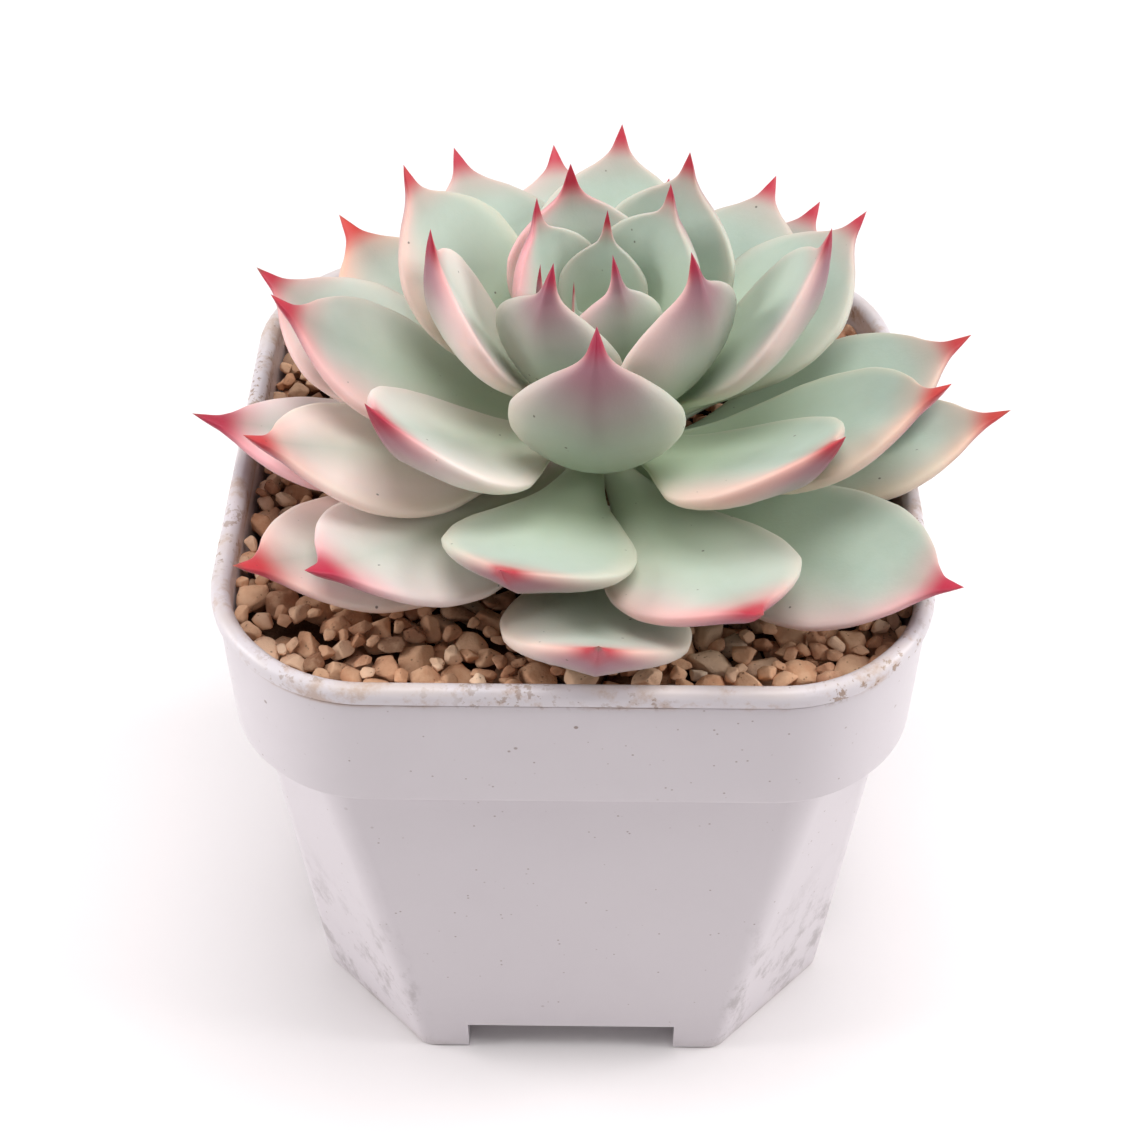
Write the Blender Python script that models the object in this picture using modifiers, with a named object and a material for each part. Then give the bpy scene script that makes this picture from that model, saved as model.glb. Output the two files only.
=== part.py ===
"""A rosette succulent growing in a small square plastic pot, dressed with gravel.

The origin is on the surface that the pot stands on, at the middle of the whole object's width and
depth. +Z is up and -Y is the front, the side that the rosette leans towards.
"""

import math

import bmesh
import bpy
from mathutils import Matrix, Vector, noise
from mathutils.bvhtree import BVHTree

# Whole object
GAP = 0.0003                       # left between pieces that touch
SMOOTH_ANGLE = 40.0                # degrees between faces, above which an edge stays sharp

# Pot: outside
POT_HEIGHT = 0.0795
POT_WIDTH = 0.0850                 # across the rim
RIM_CORNER_RADIUS = 0.0190
RIM_BEAD_HEIGHT = 0.0020           # the rolled edge
RIM_BEAD_STAND = 0.0006            # how far the rolled edge stands out from the collar
COLLAR_HEIGHT = 0.0199             # rolled edge and collar together
COLLAR_DRAFT = 0.0006              # how far the collar draws in towards its lower edge
COLLAR_CORNER_RADIUS = 0.0170      # at its lower edge
COLLAR_STEP = 0.0031               # how far the body sits in from the collar
BODY_TOP_CHAMFER = 0.0090          # leg of the corner chamfer under the collar
BODY_EDGE_RADIUS = 0.0070          # of the upright edges under the collar
BASE_WIDTH = 0.0702
BASE_CHAMFER = 0.0148              # leg of the corner chamfer at the base
BASE_EDGE_RADIUS = 0.0030          # of the upright edges at the base
BASE_EDGE = 0.0006                 # small bevel round the foot
CORNER_FLAT = 0.0008               # least straight stretch left in the middle of a corner
STEPS_PER_EIGHTH = 4               # straight steps in each eighth of a turn round a pot corner

# Pot: inside and base
RIM_THICKNESS = 0.0023
WALL = 0.0016
FLOOR_HEIGHT = 0.0062              # underside of the floor above the standing surface
FLOOR_THICKNESS = 0.0018
FOOT_WIDTH = 0.0022                # of the skirt that the pot stands on
SLOT_WIDTH = 0.0284                # of the low opening in the middle of each side of the skirt
SLOT_HEIGHT = 0.0056
DRAIN_RADIUS = 0.0032
DRAIN_SPACING = 0.0190             # of the four outer drain holes from the middle
DRAIN_SIDES = 16

# Soil and gravel, measured down from the rim
GRAVEL_TOP_DROP = 0.0042
GRAVEL_DEPTH = 0.0058
GRAVEL_DISH = 0.0032               # how much lower it lies next to the plant than at the rim
GRAVEL_GRAIN = 0.0044              # size of the grains that make the bumps
GRAVEL_BUMP = 0.0007
BARE_RADIUS = 0.0150               # round the stem, where the soil shows
SOIL_MOUND = 0.0030                # how far the soil rises round the stem
SOIL_BUMP = 0.0005
STEM_DEPTH = 0.0180                # of stem and root below the soil surface

# Rosette. A leaf's order is its place in the spiral, counted from the growing point outwards.
ROSETTE_OFFSET_X = 0.0030          # the plant is a little off the middle of the pot
ROSETTE_OFFSET_Y = -0.0010
GOLDEN_ANGLE = 137.5
FIRST_AZIMUTH = 94.0
GROWN_ORDERS = (5, *range(7, 43))  # 0 to 4 and 6 are too small to show in the bud
APEX_HEIGHT = 0.0090               # growing point above the rim
LEAF_STEP = 0.00036                # each older leaf joins the stem this much lower
LOWEST_LEAF_DROP = 0.0058          # no leaf joins lower than this below the rim
STEM_TIP_REACH = 0.0012            # distance of the youngest leaf base from the stem's axis
STEM_REACH = 0.0048                # distance of the old leaves' bases from the stem's axis
STEM_FULL_ORDER = 28               # the leaf from which the stem has its full width
STEM_SWELL = 0.8                   # below 1 the stem widens fast under its tip
STEM_SIDES = 20
LEAF_BASE_CLEARANCE = 0.0011       # between the stem's side and the leaves' base ends

# Growth rules: pairs of a leaf's order and its value there, in metres or degrees
LENGTH_BY_ORDER = ((5, 0.0145), (8, 0.0220), (12, 0.0290), (18, 0.0375), (28, 0.0430), (42, 0.0480))
WIDTH_BY_ORDER = ((5, 0.0045), (9, 0.0130), (12, 0.0175), (18, 0.0205), (28, 0.0220), (42, 0.0220))
LEAN_BY_ORDER = ((5, 74.0), (9, 58.0), (12, 50.0), (15, 41.0), (21, 20.0), (27, 10.5), (42, 3.0))
CURL_BY_ORDER = ((5, 18.0), (9, 36.0), (14, 50.0), (24, 36.0), (32, 28.0), (42, 27.0))
CUP_BY_ORDER = ((5, 0.35), (15, 0.30), (28, 0.17), (42, 0.12))   # rise of the margins per half width
FRONT_DROOP = 7.5                  # leaves in front leave the stem this much lower, those behind higher
FRONT_CURL = 9.0                   # leaves in front bend up this much more, those behind less
ROLL_SPREAD = 9.0                  # small irregular turns of a leaf about its own midline
SWEEP_SPREAD = 7.0                 # small irregular sideways bends

# Leaves that stand out of the pattern, by order: degrees turned about the stem, raised at the base,
# bent up and rolled, and metres longer. The rules alone place every other leaf.
TURNED = {
    5: 20, 7: -20, 8: 10, 10: -20, 11: 20, 12: -5, 14: -10, 17: -10, 18: 10, 19: -10,
    22: 5, 23: 10, 29: -10, 30: 5, 31: 10, 32: -5, 33: -10, 37: 5, 39: 5, 40: 5,
}
RAISED = {
    9: 20, 11: -5, 12: 5, 14: 5, 16: 5, 17: 5, 19: 10, 20: -5, 22: -5, 26: 5, 27: 5,
    34: 5, 35: -5, 36: -5, 39: 5,
}
CURLED = {12: 10, 14: 10, 17: 25, 38: 25}
ROLLED = {35: 10, 36: 8}
LONGER = {35: 0.003}

# How a leaf settles on those below it
MOST_RAISE = 16                    # degrees
RAISE_STEP = 1
MOST_SIDESTEP = 6                  # degrees
SIDESTEP_STEP = 2
MOST_CLIMB = 0.0040                # up the stem
CLIMB_STEP = 0.0005
CLIMB_EFFORT = 1600                # degrees that count as much as a metre of climb

# Leaf shape
SPINE_LENGTH = 0.0044              # the narrow red point
SPINE_SHARE = 0.10                 # of the outline below that belongs to the point
CUP_FADE_FROM = 0.15               # the cup fades away over this last share of the length
CUP_FADE_POWER = 0.3
LEAF_THICKNESS_BASE = 0.0007
LEAF_THICKNESS_PER_WIDTH = 0.125
UPPER_SHARE = 0.22                 # of a leaf's thickness above its middle surface
CURL_POWER = 1.4                   # how much of the curl is kept for the end of the leaf
LEAF_SIDES = 8
LEAF_RINGS = 14
MIDLINE_STEPS = 60
LEAF_SMOOTH_ANGLE = 75.0           # degrees between faces, above which an edge stays sharp

# Half width and thickness along a leaf, from the base (0) to the point (1), as shares of the largest
LEAF_OUTLINE = (
    (0.00, 0.16), (0.20, 0.36), (0.35, 0.68), (0.48, 0.92), (0.58, 1.00), (0.69, 0.96),
    (0.79, 0.76), (0.86, 0.50), (0.90, 0.30), (0.95, 0.13), (1.00, 0.00),
)
LEAF_BODY = (
    (0.00, 0.25), (0.25, 0.55), (0.45, 0.90), (0.60, 1.00), (0.72, 0.88), (0.83, 0.58),
    (0.90, 0.36), (0.95, 0.19), (1.00, 0.00),
)

# Two shed leaves, dried and curled, on the gravel in front
DRIED_LENGTH = 0.0130
DRIED_WIDTH = 0.0048
DRIED_THICKNESS = 0.0009
DRIED_CUP = 0.5
DRIED_CURL = 20.0
DRIED_LIFT_STEP = 0.0001
DRIED_PLACES = (
    (-0.0175, -0.0225, 5.0),       # x and y of the base, and the direction it points
    (0.0150, -0.0265, 20.0),
)


# ---------------------------------------------------------------- helpers

def clear_scene():
    for obj in list(bpy.data.objects):
        bpy.data.objects.remove(obj, do_unlink=True)


def new_collection(name):
    collection = bpy.data.collections.new(name)
    bpy.context.scene.collection.children.link(collection)
    return collection


def principled(name, colour, roughness, metallic=0.0):
    material = bpy.data.materials.new(name)
    material.use_nodes = True
    shader = material.node_tree.nodes["Principled BSDF"]
    shader.inputs["Base Color"].default_value = (*colour, 1.0)
    shader.inputs["Roughness"].default_value = roughness
    shader.inputs["Metallic"].default_value = metallic
    material.diffuse_color = (*colour, 1.0)
    return material


def add_object(name, mesh, collection, material=None):
    obj = bpy.data.objects.new(name, mesh)
    collection.objects.link(obj)
    if material:
        mesh.materials.append(material)
    return obj


def mesh_from(bm, name, smooth_angle=SMOOTH_ANGLE):
    bmesh.ops.recalc_face_normals(bm, faces=bm.faces)
    if bm.calc_volume(signed=True) < 0:
        bmesh.ops.reverse_faces(bm, faces=bm.faces)
    mesh = bpy.data.meshes.new(name)
    bm.to_mesh(mesh)
    bm.free()
    mesh.shade_smooth()
    mesh.set_sharp_from_angle(angle=math.radians(smooth_angle))
    return mesh


def smooth_curve(points):
    """A function through (x, y) points that never overshoots between two of them."""
    xs, ys = zip(*points)
    slopes = [(y1 - y0) / (x1 - x0) for x0, x1, y0, y1 in zip(xs, xs[1:], ys, ys[1:])]
    tangents = [slopes[0]]
    for before, after in zip(slopes, slopes[1:]):
        flat = before * after <= 0
        tangents.append(0.0 if flat else 2 * before * after / (before + after))
    tangents.append(slopes[-1])

    def value(x):
        x = min(max(x, xs[0]), xs[-1])
        i = max(k for k in range(len(xs) - 1) if xs[k] <= x)
        step = xs[i + 1] - xs[i]
        t = (x - xs[i]) / step
        rise = ys[i + 1] - ys[i]
        bend = (1 - t) * tangents[i] * step - t * tangents[i + 1] * step + (2 * t - 1) * rise
        return ys[i] + t * rise + t * (1 - t) * bend

    return value


def loft(rings):
    """A closed skin over rings of equally many points, with a flat cap on the first and last."""
    bm = bmesh.new()
    loops = [[bm.verts.new(point) for point in ring] for ring in rings]
    skin(bm, loops)
    bm.faces.new(loops[0])
    bm.faces.new(loops[-1])
    return bm


def skin(bm, loops):
    for lower, upper in zip(loops, loops[1:]):
        for i in range(len(lower)):
            j = (i + 1) % len(lower)
            bm.faces.new((lower[i], lower[j], upper[j], upper[i]))


# ---------------------------------------------------------------- pot

EIGHTH = math.radians(45)
ARC_SETBACK = math.tan(EIGHTH / 2)


class Section:
    """A square outline whose corners are cut at 45 degrees and then rounded, at one height."""

    def __init__(self, half, chamfer, radius, height):
        self.half = half
        self.chamfer = chamfer
        most = (chamfer * math.sqrt(2) - CORNER_FLAT) / (2 * ARC_SETBACK)
        self.radius = min(radius, most)
        self.height = height

    def inset(self, distance, height):
        chamfer = self.chamfer - distance * (2 - math.sqrt(2))
        return Section(self.half - distance, chamfer, max(self.radius - distance, GAP), height)

    def towards(self, other, share):
        def mix(a, b):
            return a + (b - a) * share
        return Section(
            mix(self.half, other.half), mix(self.chamfer, other.chamfer),
            mix(self.radius, other.radius), mix(self.height, other.height),
        )

    def points(self):
        corners = (
            (self.half, self.half - self.chamfer, 0.0),
            (self.half - self.chamfer, self.half, EIGHTH),
        )
        ring = []
        for quarter in range(4):
            turn = Matrix.Rotation(quarter * 2 * EIGHTH, 3, "Z")
            for x, y, start in corners:
                normal = Vector((math.cos(start), math.sin(start), 0))
                along = Vector((-math.sin(start), math.cos(start), 0))
                middle = Vector((x, y, 0)) - along * self.radius * ARC_SETBACK - normal * self.radius
                for i in range(STEPS_PER_EIGHTH + 1):
                    angle = start + EIGHTH * i / STEPS_PER_EIGHTH
                    arm = Vector((math.cos(angle), math.sin(angle), 0)) * self.radius
                    ring.append(turn @ (middle + arm) + Vector((0, 0, self.height)))
        return ring


def round_corner(half, radius, height):
    chamfer = (2 * ARC_SETBACK * radius + CORNER_FLAT) / math.sqrt(2)
    return Section(half, chamfer, radius, height)


COLLAR_BOTTOM = POT_HEIGHT - COLLAR_HEIGHT
COLLAR_HALF = POT_WIDTH / 2 - RIM_BEAD_STAND - COLLAR_DRAFT    # at its lower edge
LEDGE_TOP = COLLAR_BOTTOM + WALL   # inside, where the collar steps in to the body

RIM = round_corner(POT_WIDTH / 2, RIM_CORNER_RADIUS, POT_HEIGHT)
COLLAR = round_corner(COLLAR_HALF, COLLAR_CORNER_RADIUS, COLLAR_BOTTOM)
BODY_TOP = Section(COLLAR_HALF - COLLAR_STEP, BODY_TOP_CHAMFER, BODY_EDGE_RADIUS, COLLAR_BOTTOM)
BASE = Section(BASE_WIDTH / 2, BASE_CHAMFER, BASE_EDGE_RADIUS, 0.0)

FLOOR_TOP = FLOOR_HEIGHT + FLOOR_THICKNESS
COLLAR_INSIDE = RIM.inset(RIM_THICKNESS, LEDGE_TOP)
BODY_INSIDE_TOP = BODY_TOP.inset(WALL, COLLAR_BOTTOM + WALL / 2)
FLOOR_INSIDE = BASE.towards(BODY_TOP, FLOOR_TOP / COLLAR_BOTTOM).inset(WALL, FLOOR_TOP)


def inside_at(height):
    """The outline of the pot's cavity at a height."""
    if height >= LEDGE_TOP:
        return RIM.inset(RIM_THICKNESS, height)
    if height >= BODY_INSIDE_TOP.height:
        share = (height - BODY_INSIDE_TOP.height) / (LEDGE_TOP - BODY_INSIDE_TOP.height)
        return BODY_INSIDE_TOP.towards(COLLAR_INSIDE, share)
    share = (height - FLOOR_TOP) / (BODY_INSIDE_TOP.height - FLOOR_TOP)
    return FLOOR_INSIDE.towards(BODY_INSIDE_TOP, share)


def pot_sections():
    bead_round = RIM_THICKNESS / 2
    bead_low = POT_HEIGHT - bead_round
    sections = [
        BASE.inset(FOOT_WIDTH, FLOOR_HEIGHT),
        BASE.inset(FOOT_WIDTH, 0.0),
        BASE.inset(BASE_EDGE, 0.0),
        BASE.towards(BODY_TOP, BASE_EDGE / COLLAR_BOTTOM),
        BODY_TOP,
        COLLAR.inset(BASE_EDGE, COLLAR_BOTTOM),
        COLLAR.inset(0.0, COLLAR_BOTTOM + BASE_EDGE),
        RIM.inset(RIM_BEAD_STAND, POT_HEIGHT - RIM_BEAD_HEIGHT - RIM_BEAD_STAND),
        RIM.inset(0.0, POT_HEIGHT - RIM_BEAD_HEIGHT),
    ]
    for degrees in (0, 45, 90, 135, 180):
        angle = math.radians(degrees)
        sections.append(RIM.inset(
            bead_round * (1 - math.cos(angle)), bead_low + bead_round * math.sin(angle)))
    sections += [COLLAR_INSIDE, BODY_INSIDE_TOP, FLOOR_INSIDE]
    return sections


def box_cutter(name, size, collection):
    """A box centred on the origin, so half of its height is above the standing surface."""
    bm = bmesh.new()
    bmesh.ops.create_cube(bm, size=1.0)
    bmesh.ops.scale(bm, vec=size, verts=bm.verts)
    return add_object(name, mesh_from(bm, name), collection)


def drain_cutter(name, x, y, collection):
    bm = bmesh.new()
    bmesh.ops.create_cone(
        bm, cap_ends=True, segments=DRAIN_SIDES, radius1=DRAIN_RADIUS, radius2=DRAIN_RADIUS,
        depth=FLOOR_THICKNESS * 3,
    )
    cutter = add_object(name, mesh_from(bm, name), collection)
    cutter.location = (x, y, FLOOR_HEIGHT + FLOOR_THICKNESS / 2)
    return cutter


def cut(obj, cutters):
    for cutter in cutters:
        cutter.display_type = "WIRE"
        cutter.hide_render = True
        modifier = obj.modifiers.new(cutter.name, "BOOLEAN")
        modifier.operation = "DIFFERENCE"
        modifier.object = cutter


def build_pot(collection, cutters):
    bm = loft([section.points() for section in pot_sections()])
    pot = add_object("pot", mesh_from(bm, "pot"), collection,
                     principled("white_plastic", (0.86, 0.84, 0.85), 0.35))
    through = 2 * BASE_WIDTH
    made = [
        box_cutter("slot_front_back", (SLOT_WIDTH, through, 2 * SLOT_HEIGHT), cutters),
        box_cutter("slot_sides", (through, SLOT_WIDTH, 2 * SLOT_HEIGHT), cutters),
        drain_cutter("drain_middle", 0, 0, cutters),
    ]
    for quarter in range(4):
        angle = (2 * quarter + 1) * EIGHTH
        x = DRAIN_SPACING * math.cos(angle)
        y = DRAIN_SPACING * math.sin(angle)
        made.append(drain_cutter(f"drain_{quarter + 1}", x, y, cutters))
    cut(pot, made)
    return pot


# ---------------------------------------------------------------- soil and gravel

GRAVEL_TOP = POT_HEIGHT - GRAVEL_TOP_DROP
GRAVEL_BOTTOM = GRAVEL_TOP - GRAVEL_DEPTH
SOIL_TOP = GRAVEL_BOTTOM - GAP
STEM_ROOT_RADIUS = STEM_REACH - LEAF_BASE_CLEARANCE
PLANT = Vector((ROSETTE_OFFSET_X, ROSETTE_OFFSET_Y, 0))


def roughened(ring, height):
    """The ring's points lifted and sunk as grains would."""
    return [p + Vector((0, 0, height * noise.noise(p / GRAVEL_GRAIN))) for p in ring]


def circle_like(ring, radius, height):
    """A circle round the plant whose points lie in the same directions as those of a ring."""
    circle = []
    for point in ring:
        flat = Vector((point.x, point.y, 0))
        circle.append(PLANT + flat.normalized() * radius + Vector((0, 0, height)))
    return circle


def clearing(ring, radius):
    """How far out a circle's points have to be, in a ring's directions, for its sides to clear a radius."""
    turns = sorted(math.atan2(point.y, point.x) for point in ring)
    turns.append(turns[0] + 2 * math.pi)
    widest = max(after - before for before, after in zip(turns, turns[1:]))
    return radius / math.cos(widest / 2)


def build_soil(collection):
    walls = (FLOOR_INSIDE, BODY_INSIDE_TOP, COLLAR_INSIDE, inside_at(SOIL_TOP - GAP))
    rings = [wall.inset(GAP, wall.height + GAP).points() for wall in walls]
    edge = rings[-1]
    hole = clearing(edge, STEM_ROOT_RADIUS + 2 * GAP)
    rings.append(circle_like(edge, BARE_RADIUS, SOIL_TOP))
    for share in (0.75, 0.5):
        radius = hole + (BARE_RADIUS - hole) * share
        ring = circle_like(edge, radius, SOIL_TOP + SOIL_MOUND * (1 - share))
        rings.append(roughened(ring, SOIL_BUMP))
    rings.append(circle_like(edge, hole, SOIL_TOP + SOIL_MOUND * 0.6))
    rings.append(circle_like(edge, hole, SOIL_TOP - STEM_DEPTH - GAP))
    return add_object("soil", mesh_from(loft(rings), "soil"), collection,
                      principled("potting_soil", (0.06, 0.045, 0.035), 0.95))


def build_gravel(collection):
    outer = inside_at(GRAVEL_TOP).inset(GAP, GRAVEL_TOP).points()
    inner = circle_like(outer, BARE_RADIUS + GRAVEL_DEPTH / 2, GRAVEL_TOP - GRAVEL_DISH)
    rings = []
    for share in (0.0, 0.12, 0.28, 0.44, 0.6, 0.75, 0.88, 1.0):
        rings.append(roughened([a.lerp(b, share) for a, b in zip(outer, inner)], GRAVEL_BUMP))
    bottom = inside_at(GRAVEL_BOTTOM).inset(GAP, GRAVEL_BOTTOM).points()
    rings.append(circle_like(outer, BARE_RADIUS + GAP, GRAVEL_BOTTOM))
    rings.append(bottom)
    bm = bmesh.new()
    loops = [[bm.verts.new(point) for point in ring] for ring in rings]
    skin(bm, loops + loops[:1])
    return add_object("gravel_layer", mesh_from(bm, "gravel_layer"), collection,
                      principled("tan_gravel", (0.56, 0.43, 0.31), 0.85))


# ---------------------------------------------------------------- plant

half_width_share = smooth_curve(LEAF_OUTLINE)
thickness_share = smooth_curve(LEAF_BODY)
length_at = smooth_curve(LENGTH_BY_ORDER)
width_at = smooth_curve(WIDTH_BY_ORDER)
lean_at = smooth_curve(LEAN_BY_ORDER)
curl_at = smooth_curve(CURL_BY_ORDER)
cup_at = smooth_curve(CUP_BY_ORDER)


class Leaf:
    """A tapering cupped blade. Angles are in degrees."""

    def __init__(self, base, azimuth, lean, curl, length, width, thickness, cup, roll=0.0, sweep=0.0):
        self.base = base
        self.azimuth = azimuth              # direction seen from above
        self.lean = lean                    # slope at the base
        self.curl = curl                    # added slope by the time it reaches its point
        self.length = length
        self.width = width
        self.thickness = thickness
        self.cup = cup                      # rise of the margins over the midline, per half width
        self.roll = roll                    # about its own midline
        self.sweep = sweep                  # sideways bend from base to point

    def midline(self):
        """Points and directions along the middle, from the base to the point."""
        place = self.base.copy()
        points, directions, turns = [], [], []
        for i in range(MIDLINE_STEPS + 1):
            along = i / MIDLINE_STEPS
            pitch = math.radians(self.lean + self.curl * along ** CURL_POWER)
            turn = math.radians(self.azimuth + self.sweep * along)
            direction = Vector((
                math.cos(pitch) * math.cos(turn), math.cos(pitch) * math.sin(turn), math.sin(pitch)))
            points.append(place.copy())
            directions.append(direction)
            turns.append(turn)
            place += direction * self.length / MIDLINE_STEPS
        return points, directions, turns

    def outline_place(self, along):
        """Stretches the outline so that the spine has the same length on every leaf."""
        spine_start = 1 - SPINE_LENGTH / self.length
        if along < spine_start:
            return along / spine_start * (1 - SPINE_SHARE)
        return 1 - SPINE_SHARE * (1 - along) / (1 - spine_start)

    def shape(self, clearance=0.0):
        """A sphere whose rings are spread along the midline and shaped to the blade's section."""
        points, directions, turns = self.midline()
        roll = math.radians(self.roll)
        bm = bmesh.new()
        bmesh.ops.create_uvsphere(bm, u_segments=LEAF_SIDES, v_segments=LEAF_RINGS, radius=1.0)
        for vert in bm.verts:
            ring = round(math.acos(max(-1.0, min(1.0, vert.co.z))) / math.pi * LEAF_RINGS)
            pole = ring == 0
            along = max(ring - 1, 0) / (LEAF_RINGS - 1)
            angle = math.atan2(vert.co.y, vert.co.x)
            i = round(along * MIDLINE_STEPS)
            across = Vector((-math.sin(turns[i]), math.cos(turns[i]), 0))
            upward = directions[i].cross(across)
            side = across * math.cos(roll) + upward * math.sin(roll)
            face = upward * math.cos(roll) - across * math.sin(roll)
            outline = self.outline_place(along)
            half = 0.0 if pole else self.width / 2 * half_width_share(outline)
            body = 0.0 if pole else min(self.thickness * thickness_share(outline), 2 * half)
            lateral = math.cos(angle)
            lift = math.sin(angle)
            share = UPPER_SHARE if lift > 0 else 1 - UPPER_SHARE
            fade = min(1.0, 1 + CUP_FADE_FROM - along) ** CUP_FADE_POWER
            cup = self.cup * half * lateral ** 2 * fade
            sideways = side * (half + clearance) * lateral
            upwards = face * (cup + (share * body + clearance) * lift)
            vert.co = points[i] + sideways + upwards
        return bm

    def tree(self, clearance=0.0):
        bm = self.shape(clearance)
        tree = BVHTree.FromBMesh(bm)
        bm.free()
        return tree


def base_height(order):
    """Where a leaf joins the stem."""
    drop = max(APEX_HEIGHT - LEAF_STEP * order, -LOWEST_LEAF_DROP)
    return POT_HEIGHT + drop


def base_reach(order):
    grown = min(order / STEM_FULL_ORDER, 1.0) ** STEM_SWELL
    return STEM_TIP_REACH + (STEM_REACH - STEM_TIP_REACH) * grown


def irregular(order, kind, spread):
    """A small departure that differs from leaf to leaf and is the same each time."""
    return spread * noise.noise(Vector((order * 0.73, kind * 5.31, 0.5)))


def grown_leaf(order, raised=0.0, sidestep=0.0, climb=0.0):
    azimuth = FIRST_AZIMUTH - GOLDEN_ANGLE * order + TURNED.get(order, 0) + sidestep
    towards_back = math.sin(math.radians(azimuth))
    lean = lean_at(order) + FRONT_DROOP * towards_back + RAISED.get(order, 0) + raised
    reach = base_reach(order)
    outwards = Vector((math.cos(math.radians(azimuth)), math.sin(math.radians(azimuth)), 0))
    base = PLANT + outwards * reach + Vector((0, 0, base_height(order) + climb))
    length = length_at(order) + LONGER.get(order, 0.0)
    width = width_at(order)
    thickness = LEAF_THICKNESS_BASE + LEAF_THICKNESS_PER_WIDTH * width
    roll = irregular(order, 1, ROLL_SPREAD) + ROLLED.get(order, 0)
    sweep = irregular(order, 2, SWEEP_SPREAD)
    curl = curl_at(order) - FRONT_CURL * towards_back + CURLED.get(order, 0)
    return Leaf(base, azimuth, lean, curl, length, width, thickness, cup_at(order), roll, sweep)


def settling_moves():
    """Ways to raise, turn aside or climb out of the way, from the smallest to the largest."""
    raises = range(0, MOST_RAISE + 1, RAISE_STEP)
    sidesteps = range(-MOST_SIDESTEP, MOST_SIDESTEP + 1, SIDESTEP_STEP)
    climbs = range(round(MOST_CLIMB / CLIMB_STEP) + 1)
    moves = [(raised, aside, climb * CLIMB_STEP)
             for raised in raises for aside in sidesteps for climb in climbs]

    def effort(move):
        raised, aside, climb = move
        return raised + abs(aside) + climb * CLIMB_EFFORT

    return sorted(moves, key=effort)


def settle(order, below, moves):
    """The leaf of this order after the smallest move that clears everything below it."""
    for raised, aside, climb in moves:
        leaf = grown_leaf(order, raised, aside, climb)
        tree = leaf.tree(GAP)
        if not any(tree.overlap(other) for other in below):
            break
    return leaf


def dried_leaves(ground):
    """Shed leaves, let down until they lie on the gravel."""
    leaves = []
    for x, y, azimuth in DRIED_PLACES:
        base = Vector((x, y, GRAVEL_TOP))
        leaf = Leaf(
            base, azimuth, 0.0, DRIED_CURL, DRIED_LENGTH, DRIED_WIDTH, DRIED_THICKNESS, DRIED_CUP)
        while any(leaf.tree(GAP).overlap(other) for other in ground):
            leaf.base.z += DRIED_LIFT_STEP
        leaves.append(leaf)
    return leaves


def build_leaves(collection, ground):
    """Lays the leaves from the oldest, at the bottom, to the youngest; numbered from the youngest."""
    dried = dried_leaves(ground)
    brown = principled("dried_leaf", (0.42, 0.27, 0.15), 0.85)
    for number, leaf in enumerate(dried, start=1):
        name = f"dried_leaf_{number}"
        add_object(name, mesh_from(leaf.shape(), name, LEAF_SMOOTH_ANGLE), collection, brown)
    below = ground + [leaf.tree() for leaf in dried]
    moves = settling_moves()
    for order in reversed(GROWN_ORDERS):
        leaf = settle(order, below, moves)
        below.append(leaf.tree())
        name = f"leaf_{GROWN_ORDERS.index(order) + 1:02d}"
        age = order / GROWN_ORDERS[-1]
        colour = (0.50 + 0.06 * age, 0.60 - 0.02 * age, 0.52 - 0.03 * age)
        mesh = mesh_from(leaf.shape(), name, LEAF_SMOOTH_ANGLE)
        add_object(name, mesh, collection, principled(name, colour, 0.6))


def build_stem(collection):
    """A turned core that the leaves sit round, down to its root in the soil."""
    foot = SOIL_TOP - STEM_DEPTH
    profile = [(0.0, base_height(0))]
    for order in range(2, STEM_FULL_ORDER + 1, 4):
        radius = max(base_reach(order) - LEAF_BASE_CLEARANCE, STEM_TIP_REACH / 3)
        profile.append((radius, base_height(order) - LEAF_BASE_CLEARANCE))
    profile += [(STEM_ROOT_RADIUS, base_height(STEM_FULL_ORDER) - 3 * LEAF_BASE_CLEARANCE),
                (STEM_ROOT_RADIUS, foot), (0.0, foot)]
    mesh = bpy.data.meshes.new("stem")
    mesh.from_pydata([(x, 0, z) for x, z in profile],
                     [(i, i + 1) for i in range(len(profile) - 1)], [])
    stem = add_object("stem", mesh, collection, principled("stem", (0.42, 0.33, 0.22), 0.8))
    stem.location = PLANT
    screw = stem.modifiers.new("turn", "SCREW")
    screw.axis = "Z"
    screw.steps = STEM_SIDES
    screw.render_steps = STEM_SIDES
    screw.use_merge_vertices = True
    screw.merge_threshold = 0.00001
    return stem


def tree_of(obj):
    """The surface of a finished object in world space, to test others against."""
    bpy.context.view_layer.update()
    shown = obj.evaluated_get(bpy.context.evaluated_depsgraph_get())
    mesh = shown.to_mesh()
    points = [shown.matrix_world @ vert.co for vert in mesh.vertices]
    tree = BVHTree.FromPolygons(points, [list(face.vertices) for face in mesh.polygons])
    shown.to_mesh_clear()
    return tree


def centre_on_origin(parts, cutters):
    """Hangs everything on one empty, moved so that the whole stands round the origin."""
    bpy.context.view_layer.update()
    depsgraph = bpy.context.evaluated_depsgraph_get()
    corners = []
    for obj in parts.objects:
        shown = obj.evaluated_get(depsgraph)
        corners += [shown.matrix_world @ Vector(corner) for corner in shown.bound_box]
    middle = [(min(c[i] for c in corners) + max(c[i] for c in corners)) / 2 for i in (0, 1)]
    anchor = bpy.data.objects.new("anchor", None)
    for obj in [*parts.objects, *cutters.objects]:
        obj.parent = anchor
    parts.objects.link(anchor)
    anchor.location = (-middle[0], -middle[1], 0)


def main():
    clear_scene()
    parts = new_collection("potted_succulent")
    cutters = new_collection("cutters")
    pot = build_pot(parts, cutters)
    soil = build_soil(parts)
    gravel = build_gravel(parts)
    stem = build_stem(parts)
    build_leaves(parts, [tree_of(obj) for obj in (pot, soil, gravel, stem)])
    centre_on_origin(parts, cutters)


main()
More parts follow.
